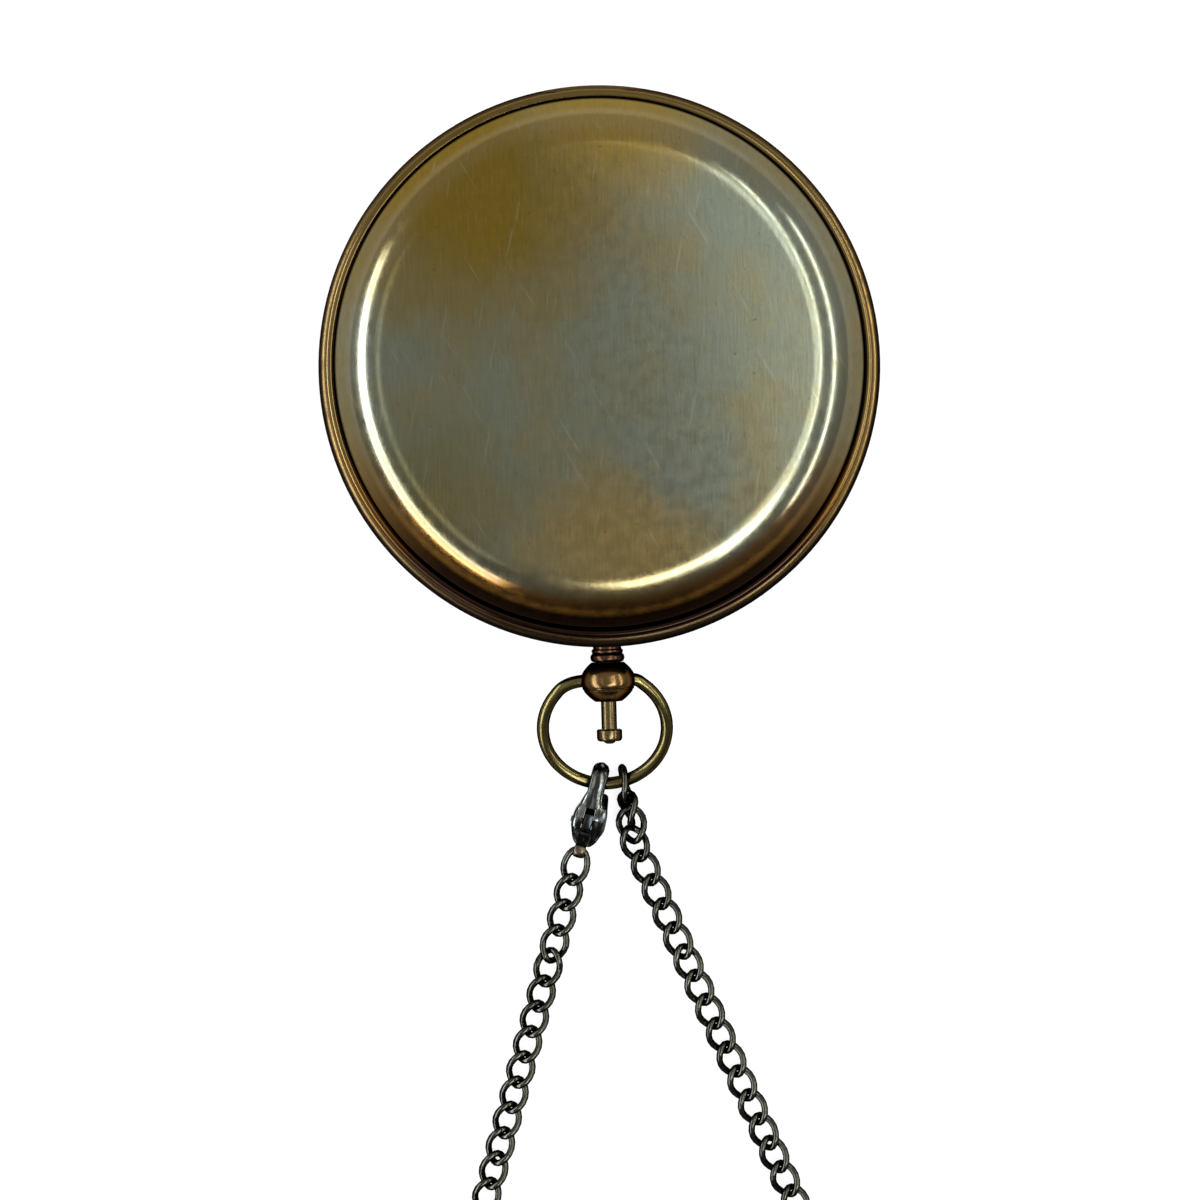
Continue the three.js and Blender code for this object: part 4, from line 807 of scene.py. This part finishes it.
neck_profile = (
    [(PIN_BORE, BORE), (NECK, BORE), (NECK, COLLAR_START)]
    + arc((NECK, COLLAR_START + 0.3), (0.22, 0.3), -90, 60, 6)
    + arc((NECK, COLLAR_END - 0.58), (COLLAR - NECK, 0.58), -60, 90, 12)
    + [(PIN_BORE, COLLAR_END)]
)
neck_bm = on_pendant(turned(neck_profile, 64))
piece(neck_bm, "pendant_collar", collar_brass_painted_shade, "case", ["pendant_neck"])


def barrel(share):
    groove = sum(0.07 for middle in (0.64, 0.71) if abs(share - middle) < 0.013)
    if share < 0.5:
        return BALL_TOP + (BALL - BALL_TOP) * (1 - (1 - 2 * share) ** 2.2)
    return BALL_END + (BALL - BALL_END) * (1 - (2 * share - 1) ** 1.9) - groove


CHAMBER, CHAMBER_FLOOR, SOCKET = 1.75, 1.2, 0.95
ball_outside = [(barrel(i / 80), BALL_START + BALL_LENGTH * i / 80) for i in range(81)]
chamber_end = BALL_START + BALL_LENGTH - CHAMBER_FLOOR
ball_profile = [(CHAMBER, BALL_START)] + ball_outside + [
    (PIN_BORE, BALL_START + BALL_LENGTH), (PIN_BORE, chamber_end), (CHAMBER, chamber_end)]
sockets = [
    rod_bm(SOCKET, (side * 2.2, BOW_Y, PENDANT_Z), (side * 7.4, BOW_Y, PENDANT_Z)) for side in (1, -1)]
ball_bm = cut(on_pendant(turned(ball_profile, 72)), sockets)
piece(ball_bm, "pendant_barrel", copper_brass, "case", ["pendant_ball"])

# Push pin: a turned brass shaft with a drum head riveted on its end, held out by a steel coil in the ball.
# Pressing it moves the hook off the lid's catch.
FLANGE_START, FLANGE_END, HEAD_START, HEAD_END = 42.9, 43.5, 48.5, 50.15
PIN, PIN_START, FLANGE, RIVET, HEAD, HEAD_BORE = 1.05, 30.7, 1.5, 0.5, 1.72, 0.6
pin_brass, _, _ = metal_material(
    "pin_brass", metal=(0.082, 0.058, 0.024), warm=(0.108, 0.076, 0.032), dark=(0.010, 0.006, 0.004),
    gloss=0.24, bump=0.2, edge=(0.12, 0.09, 0.06), mottle=0.5, painted_side_shade=0.9)
pin_profile = [
    (0.0, PIN_START), (PIN, PIN_START), (PIN, FLANGE_START), (FLANGE, FLANGE_START), (FLANGE, FLANGE_END),
    (PIN, FLANGE_END), (PIN, HEAD_START), (RIVET, HEAD_START), (RIVET, HEAD_END + 0.05),
    (0.8, HEAD_END + 0.05), (0.7, HEAD_END + 0.2), (0.4, HEAD_END + 0.35), (0.0, HEAD_END + 0.35)]
head_profile = [
    (HEAD_BORE, HEAD_START + 0.05), (HEAD - 0.16, HEAD_START + 0.05), (HEAD, HEAD_START + 0.2),
    (HEAD, HEAD_END - 0.4), (HEAD - 0.12, HEAD_END - 0.12), (HEAD - 0.3, HEAD_END), (HEAD_BORE, HEAD_END)]
shaft_bm = on_pendant(turned(pin_profile, 48))
piece(shaft_bm, "pin_shaft", pin_brass, "push_button", ["push_pin"])
head_bm = on_pendant(turned(head_profile, 48))
piece(head_bm, "pin_head", pin_brass, "push_button", ["push_head"])
coil_bm = bmesh.new()
coil_bm.from_mesh(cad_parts["push_spring"].data)
return_coil = piece(coil_bm, "return_coil", steel, "case", ["push_spring"], 60.0, 1.0)
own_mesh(return_coil)

# Bow: a ring bent from round brass wire, its two ends turned in and sprung into the ball, drooping on to
# the clasp.
bow_brass, _, _ = metal_material(
    "bow_brass", metal=(0.092, 0.074, 0.027), warm=(0.120, 0.094, 0.033), dark=(0.008, 0.006, 0.003),
    gloss=0.19, bump=0.2, edge=(0.08, 0.06, 0.04), mottle=0.4, painted_side_shade=0.95)
BOW, BOW_WIRE, BOW_REACH, BOW_PLAY, STUB = 8.4, 0.85, 7.2, -0.6, 2.3
CROSS = radians(-8.2)
CLASP_WIRE_Z = 2.05
droop = asin((PENDANT_Z - CLASP_WIRE_Z) / (BOW_REACH + BOW * cos(CROSS)))


def on_bow(x, reach):
    return Vector((x, BOW_Y - reach * cos(droop), PENDANT_Z - reach * sin(droop)))


def bow_point(angle):
    return on_bow(BOW_PLAY + BOW * sin(angle), BOW_REACH + BOW * cos(angle))


def wire_bm(points, radius, closed, sides=16, smooth=True):
    curve = bpy.data.curves.new("wire", "CURVE")
    curve.dimensions = "3D"
    curve.bevel_depth = radius
    curve.bevel_resolution = sides // 4
    curve.use_fill_caps = not closed
    curve.resolution_u = 6 if smooth else 1
    spline = curve.splines.new("BEZIER")
    spline.bezier_points.add(len(points) - 1)
    for knot, place in zip(spline.bezier_points, points):
        knot.co = place
        knot.handle_left_type = knot.handle_right_type = "AUTO"
    spline.use_cyclic_u = closed
    made = bpy.data.objects.new("wire", curve)
    scene.collection.objects.link(made)
    bpy.context.view_layer.update()
    mesh = bpy.data.meshes.new_from_object(made.evaluated_get(bpy.context.evaluated_depsgraph_get()))
    bm = bmesh.new()
    bm.from_mesh(mesh)
    bpy.data.objects.remove(made)
    bpy.data.curves.remove(curve)
    bpy.data.meshes.remove(mesh)
    bmesh.ops.remove_doubles(bm, verts=bm.verts, dist=1e-4)
    bmesh.ops.recalc_face_normals(bm, faces=bm.faces)
    return bm


bow_end = pi - asin((BALL + 2 * BOW_WIRE) / BOW)
bow_route = (
    [on_bow(-STUB, 0), on_bow(-BALL, 0)]
    + [bow_point(bow_end * (i / 12 - 1)) for i in range(25)]
    + [on_bow(BALL, 0), on_bow(STUB, 0)])
piece(wire_bm(bow_route, BOW_WIRE, False, 24), "bow_ring", bow_brass, "bow", ["bow"])

# Clasp: a cast lobster clasp of gunmetal-plated brass that stands on its edge over the bow, rounded all
# over, with a sprung lever that fills the slot between its cheeks and a bare brass eye at its tail.
GUNMETAL = dict(
    metal=(0.026, 0.027, 0.024), warm=(0.048, 0.050, 0.043), dark=(0.003, 0.003, 0.003),
    gloss=0.17, bump=0.25, edge=(0.10, 0.10, 0.09), mottle=0.4)
gunmetal, _, _ = metal_material("gunmetal", painted_side_shade=0.95, **GUNMETAL)
cast_metal, cast_tree, cast_wear_and_shade = metal_material("cast_gunmetal", painted_side_shade=0.9, **GUNMETAL)
LEAN = radians(16.5)
cast_place = node(cast_tree, "ShaderNodeTexCoord").outputs["Object"]
leaning = node(cast_tree, "ShaderNodeMapping", {"Vector": cast_place, "Rotation": (0.0, 0.0, LEAN)})
# Brushed grain lightened along the clasp: partly the real brushing, partly a painted highlight standing in
# for its bright streaks.
grain_and_painted_highlight = noise(cast_tree, leaning.outputs[0], 1900.0, 3.0, 0.6, (1.0, 0.16, 0.5))
grain_and_painted_highlight = spread(cast_tree, grain_and_painted_highlight, 0.50, 0.64, 0.0, 0.8)
cast_tone = blend_colour(cast_tree, grain_and_painted_highlight, cast_wear_and_shade.outputs["Color"], (0.20, 0.21, 0.18, 1.0))
cast_tree.links.new(cast_tone, cast_tree.nodes["Principled BSDF"].inputs["Base Color"])
ALONG = Vector((sin(LEAN), cos(LEAN), 0.0))
ACROSS = Vector((cos(LEAN), -sin(LEAN), 0.0))
WIRE_PLACE, CLASP_FOOT, HOOK, HOOK_PLACE, BAND = 9.55, 0.1, 2.35, 10.2, 0.95
TIP_PLACE, GATE_PLACE, TAIL_HEIGHT = 8.25, 5.85, 2.4
BELLY, HOOK_HALF = 2.55, 1.2
BAND_START, FLARE, FLARE_LENGTH = 4.6, 0.7, 3.6
PIVOT_PLACE, PIVOT_Z, LEVER_PIN, LEVER_HALF = 3.9, 1.2, 0.4, 0.65
EYE_RING, EYE_HOLE, EYE_HALF, EYE_Z, STEM, SLOT_START = 1.15, 0.75, 0.75, 1.25, 0.4, 1.9
CLASP_TOP = CLASP_FOOT + 2 * HOOK
EYE = bow_point(CROSS) - WIRE_PLACE * ALONG
EYE.z = 0.0
clasp_frame = Matrix.Translation(EYE) @ Matrix((ALONG, Vector((0, 0, 1)), ACROSS)).transposed().to_4x4()


def clasp_bar(radius, half, place, height):
    start = clasp_frame @ Vector((place, height, -half))
    return rod_bm(radius, start, clasp_frame @ Vector((place, height, half)), 24)


def pivot_bore():
    return clasp_bar(LEVER_PIN + 0.1, 5.0, PIVOT_PLACE, PIVOT_Z)


def eye_rod(radius, start, end):
    return rod_bm(radius, clasp_frame @ Vector((start, EYE_Z, 0)), clasp_frame @ Vector((end, EYE_Z, 0)))


hook_middle = (HOOK_PLACE, CLASP_FOOT + HOOK)
BODY_START, BODY_END = 0.6, 8.3
clasp_back = [BODY_START + (BODY_END - BODY_START) * i / 24 for i in range(25)]


def clasp_ridge(u):
    share = max(0.0, min(1.0, (u - BODY_START) / (GATE_PLACE - BODY_START)))
    return TAIL_HEIGHT + (CLASP_TOP - TAIL_HEIGHT) * sin(pi / 2 * share)


def along_knots(knots, u):
    for (u0, w0), (u1, w1) in zip(knots, knots[1:]):
        if u <= u1:
            share = max(0.0, (u - u0) / (u1 - u0))
            return w0 + (w1 - w0) * share * share * (3 - 2 * share)
    return knots[-1][1]


def cast_smooth(bm, voxel, rounds):
    bm = worked(bm, [("REMESH", dict(mode="VOXEL", voxel_size=voxel))])
    for _ in range(rounds):
        bmesh.ops.smooth_vert(
            bm, verts=bm.verts, factor=0.5, use_axis_x=True, use_axis_y=True, use_axis_z=True)
    return bm


LEFT_CHEEK = [(0.6, 0.95), (1.8, 1.65), (3.6, 2.2), (5.2, 2.1), (6.8, 1.5), (8.3, 1.05)]
RIGHT_CHEEK = [(0.6, 1.25), (1.8, 2.0), (3.6, 2.55), (5.4, 2.45), (7.0, 2.15), (8.3, 1.95)]
clasp_side = (
    [(BODY_START, CLASP_FOOT), (BODY_END, CLASP_FOOT), (BODY_END, CLASP_TOP - 2.6),
     (GATE_PLACE + BAND, CLASP_TOP - 0.9)]
    + [(u, clasp_ridge(u)) for u in reversed(clasp_back) if u < GATE_PLACE + BAND])
clasp_plan = (
    [(u, along_knots(RIGHT_CHEEK, u)) for u in clasp_back]
    + [(u, -along_knots(LEFT_CHEEK, u)) for u in reversed(clasp_back)])
plan_frame = clasp_frame @ Matrix.Rotation(pi / 2, 4, "X")
clasp_bm = cut(slab(clasp_side, 4.0, clasp_frame), [slab(clasp_plan, 20.0, plan_frame)], "INTERSECT")
clasp_bm = cast_smooth(clasp_bm, 0.11, 60)
hook_route = (
    [(u, CLASP_TOP - BAND / 2, 0.0) for u in (BAND_START, GATE_PLACE, 7.0, 8.5)]
    + [(u, v, 0.0) for u, v in arc(hook_middle, (HOOK - BAND / 2, HOOK - BAND / 2), 84, -90, 14)]
    + [(9.2, CLASP_FOOT + BAND / 2, 0.0), (TIP_PLACE + 0.3, CLASP_FOOT + BAND / 2, 0.0)])


def hook_width(u):
    nose = max(0.0, u - HOOK_PLACE - HOOK + HOOK_HALF) / HOOK_HALF
    flare = max(0.0, 1 - (u - BAND_START) / FLARE_LENGTH)
    return HOOK_HALF * max(0.35, sqrt(max(0.0, 1 - nose * nose))) + FLARE * flare


hook_bm = wire_bm([Vector(knot) for knot in hook_route], BAND / 2, False, 24)
for vertex in hook_bm.verts:
    vertex.co.z *= hook_width(vertex.co.x) / (BAND / 2)
bmesh.ops.transform(hook_bm, matrix=clasp_frame, verts=hook_bm.verts)
clasp_bm = cast_smooth(cut(clasp_bm, [hook_bm], "UNION"), 0.10, 9)
slot_end, slot_low, slot_high, web_end, web_top = GATE_PLACE + 0.3, -5.0, 9.0, 2.9, 0.7
clasp_slot = [
    (SLOT_START, web_top), (web_end, web_top), (web_end, slot_low), (slot_end, slot_low),
    (slot_end, slot_high), (SLOT_START, slot_high)]
slot_bm = slab(clasp_slot, LEVER_HALF + 0.1, clasp_frame)
eye_room = clasp_bar(EYE_RING + 0.08, 3.0, 0.0, EYE_Z)
stem_hole = eye_rod(STEM + 0.1, 0.0, SLOT_START + 0.1)
clasp_bm = cut(clasp_bm, [slot_bm, eye_room, pivot_bore(), stem_hole])
piece(clasp_bm, "clasp_hook", cast_metal, "chain_hang", ["clasp_body"])

lever_low = CLASP_FOOT + 0.1
lever_side = [
    (3.0, lever_low), (TIP_PLACE - 0.2, lever_low), (TIP_PLACE - 0.2, lever_low + 0.75),
    (GATE_PLACE + 0.1, lever_low + 0.75), (GATE_PLACE + 0.1, 3.5), (5.2, 4.3), (3.2, 3.95), (2.6, 3.3)]
lever_bm = cut(slab(lever_side, LEVER_HALF, clasp_frame), [pivot_bore()])
piece(eased(lever_bm, 0.12), "clasp_gate_lever", gunmetal, "clasp_gate", ["clasp_lever"])
rivet_bm = eased(clasp_bar(LEVER_PIN, BELLY - 0.25, PIVOT_PLACE, PIVOT_Z), 0.08)
piece(rivet_bm, "clasp_rivet", gunmetal, "chain_hang", ["clasp_pin"])

eye_brass, _, _ = metal_material(
    "eye_brass", metal=(0.080, 0.060, 0.040), warm=(0.105, 0.080, 0.050), dark=(0.02, 0.014, 0.008),
    gloss=0.28, bump=0.2, edge=(0.2, 0.16, 0.12), mottle=0.4, painted_side_shade=0.8)
eye_middle = ((EYE_RING + EYE_HOLE) / 2, 0.0)
eye_bm = turned(arc(eye_middle, ((EYE_RING - EYE_HOLE) / 2, EYE_HALF), 0, 342, 18), 40)
bmesh.ops.transform(eye_bm, matrix=clasp_frame @ Matrix.Translation((0, EYE_Z, 0)), verts=eye_bm.verts)
stem = eye_rod(STEM, EYE_RING - 0.2, SLOT_START - 0.1)
piece(cut(eye_bm, [stem], "UNION"), "clasp_eye_ring", eye_brass, "chain_hang", ["clasp_eye"])

# Chain: a curb chain of bent and twisted wire links, plated gunmetal; its free end is a link on the bow, and
# two loose links turn the strand flat. What the picture doesn't show lies on the table as one wide loop.
chain_metal, _, _ = metal_material(
    "chain_metal", metal=(0.036, 0.036, 0.027), warm=(0.060, 0.059, 0.044), dark=(0.002, 0.002, 0.002),
    gloss=0.16, bump=0.25, edge=(0.08, 0.08, 0.07), mottle=0.4, painted_side_shade=0.95)
WIRE, LINK_HALF, LINK_WIDTH, PITCH, TWIST, FREE_HALF = 0.46, 2.3, 1.6, 3.61, radians(42.0), 2.48
CHAIN_Z, EYE_LINK = 1.05, 2.448
LEFT_LEAN, RIGHT_LEAN = radians(16.65), radians(22.5)
LEFT_LINKS, RIGHT_LINKS, LOOP_LINKS, LOOP_PIECES = 4, 5, 67, 8
UP = Vector((0, 0, 1))


def link_bm(bm, place, heading, near=LINK_HALF, far=LINK_HALF, half=LINK_WIDTH, twists=(TWIST, TWIST),
            roll=0.0):
    route = []
    for i in range(20):
        along = cos(2 * pi * i / 20)
        across = half * sin(2 * pi * i / 20)
        tilt = along * (twists[1] if along > 0 else twists[0])
        route.append(Vector(((far if along > 0 else near) * along, across * cos(tilt), across * sin(tilt))))
    side = UP.cross(heading).normalized()
    basis = Matrix((heading, side, heading.cross(side))).transposed().to_4x4()
    turn = Matrix.Translation(place) @ basis @ Matrix.Rotation(radians(roll), 4, "X")
    add_bm(bm, wire_bm([turn @ point for point in route], WIRE, True, 12, False))


def chain_piece(name, links, body, nodes):
    bm = bmesh.new()
    for settings in links:
        link_bm(bm, **settings)
    return piece(bm, name, chain_metal, body, nodes)


FOLD_TWIST, FOLD_HALF, EYE_LINK_NEAR, RIGHT_NEAR = radians(40.0), 2.55, EYE_LINK + 0.1, 2.4


def strand(name, places, headings, body, node_name, near=FREE_HALF, twist=TWIST, folds=()):
    links = [dict(place=place, heading=heading) for place, heading in zip(places, headings)]
    links[0].update(near=near, twists=(twist, TWIST))
    links[-1].update(far=FREE_HALF)
    for end, side, fold_twist in folds:
        links[end][side] = FOLD_HALF
        links[end]["twists"] = (fold_twist, TWIST) if side == "near" else (TWIST, fold_twist)
    chain_piece(name, links, body, [node_name])


left = Vector((-sin(LEFT_LEAN), -cos(LEFT_LEAN), 0.0))
right = Vector((sin(RIGHT_LEAN), -cos(RIGHT_LEAN), 0.0))
chain_eye = Vector((EYE.x, EYE.y, CHAIN_Z))
left_places = [chain_eye + left * (EYE_LINK + i * PITCH) for i in range(LEFT_LINKS)]
left_fold = left_places[-1] + left * PITCH / 2
strand("chain_left_strand", left_places, [left] * LEFT_LINKS, "chain_hang", "chain_left_lead",
       near=EYE_LINK_NEAR, twist=0.0, folds=[(-1, "far", -FOLD_TWIST)])

END_ANGLE, END_REACH, END_WIDTH, END_TWIST = radians(17.0), 0.6, 1.66, radians(26.0)
LOOSE_LEAN = radians(7.95)
LOOSE_STEPS = [share * PITCH for share in (0.87, 0.65, 0.791)]
LOOSE_HEIGHTS = (2.06, 1.27)
LOOSE_LINKS = [
    dict(near=2.02, far=2.42, half=1.67, twists=(radians(40.5),) * 2, roll=65.0),
    dict(near=2.24, far=2.48, half=1.75, twists=(radians(37.7),) * 2, roll=11.1)]
bow_crossing = bow_point(END_ANGLE)
loose = Vector((sin(LOOSE_LEAN), -cos(LOOSE_LEAN), 0.0))
end_place = bow_crossing + loose * END_REACH
chain_piece(
    "chain_end_link",
    [dict(place=end_place, heading=loose, near=FREE_HALF, far=FREE_HALF, half=END_WIDTH,
          twists=(radians(14.0), END_TWIST), roll=90.0)],
    "chain_hang", ["end_link"])
reach = END_REACH
for index, (step, height, bends) in enumerate(zip(LOOSE_STEPS, LOOSE_HEIGHTS, LOOSE_LINKS), 1):
    reach += step
    place = bow_crossing + loose * reach
    place.z = height
    chain_piece(f"chain_loose_{index}", [dict(place=place, heading=loose, **bends)], "chain_hang",
                [f"chain_link_{index}"])
right_top = bow_crossing + loose * sum(LOOSE_STEPS, END_REACH)
right_top.z = CHAIN_Z
right_places = [right_top + right * i * PITCH for i in range(RIGHT_LINKS)]
right_fold = right_places[-1] + right * PITCH / 2
strand("chain_right_strand", right_places, [right] * RIGHT_LINKS, "chain_hang", "chain_right_lead",
       near=RIGHT_NEAR, folds=[(-1, "far", FOLD_TWIST)])


def plan_cross(first, second):
    return first.x * second.y - first.y * second.x


half_apex = (LEFT_LEAN + RIGHT_LEAN) / 2
span = right_fold - left_fold
left_apex = plan_cross(span, right) / plan_cross(right, left)
right_apex = plan_cross(span, left) / plan_cross(right, left)
bend_angle = pi + 2 * half_apex
LOOP_PITCH = 3.602
loop_length = LOOP_LINKS * LOOP_PITCH
tangent = (loop_length + left_apex + right_apex) / (2 + tan(half_apex) * bend_angle)
bend = tangent * tan(half_apex)
straight = tangent - left_apex


def loop_at(distance):
    if distance < straight:
        return left_fold + left * distance, left
    if distance < straight + bend * bend_angle:
        turn = (distance - straight) / bend
        inward = Vector((-left.y, left.x, 0.0))
        place = left_fold + left * (straight + bend * sin(turn)) + inward * bend * (1 - cos(turn))
        return place, Matrix.Rotation(turn, 3, "Z") @ left
    return right_fold - right * (distance - loop_length), -right


for index in range(LOOP_PIECES):
    first = round(index * LOOP_LINKS / LOOP_PIECES)
    last = round((index + 1) * LOOP_LINKS / LOOP_PIECES)
    stops = [loop_at((i + 0.5) * LOOP_PITCH) for i in range(first, last)]
    folds = {0: [(0, "near", -FOLD_TWIST)], LOOP_PIECES - 1: [(-1, "far", FOLD_TWIST)]}.get(index, [])
    strand(f"chain_length_{index + 1}", [place for place, _ in stops], [heading for _, heading in stops],
           "chain_loop", f"chain_loop_{index + 1}", folds=folds)
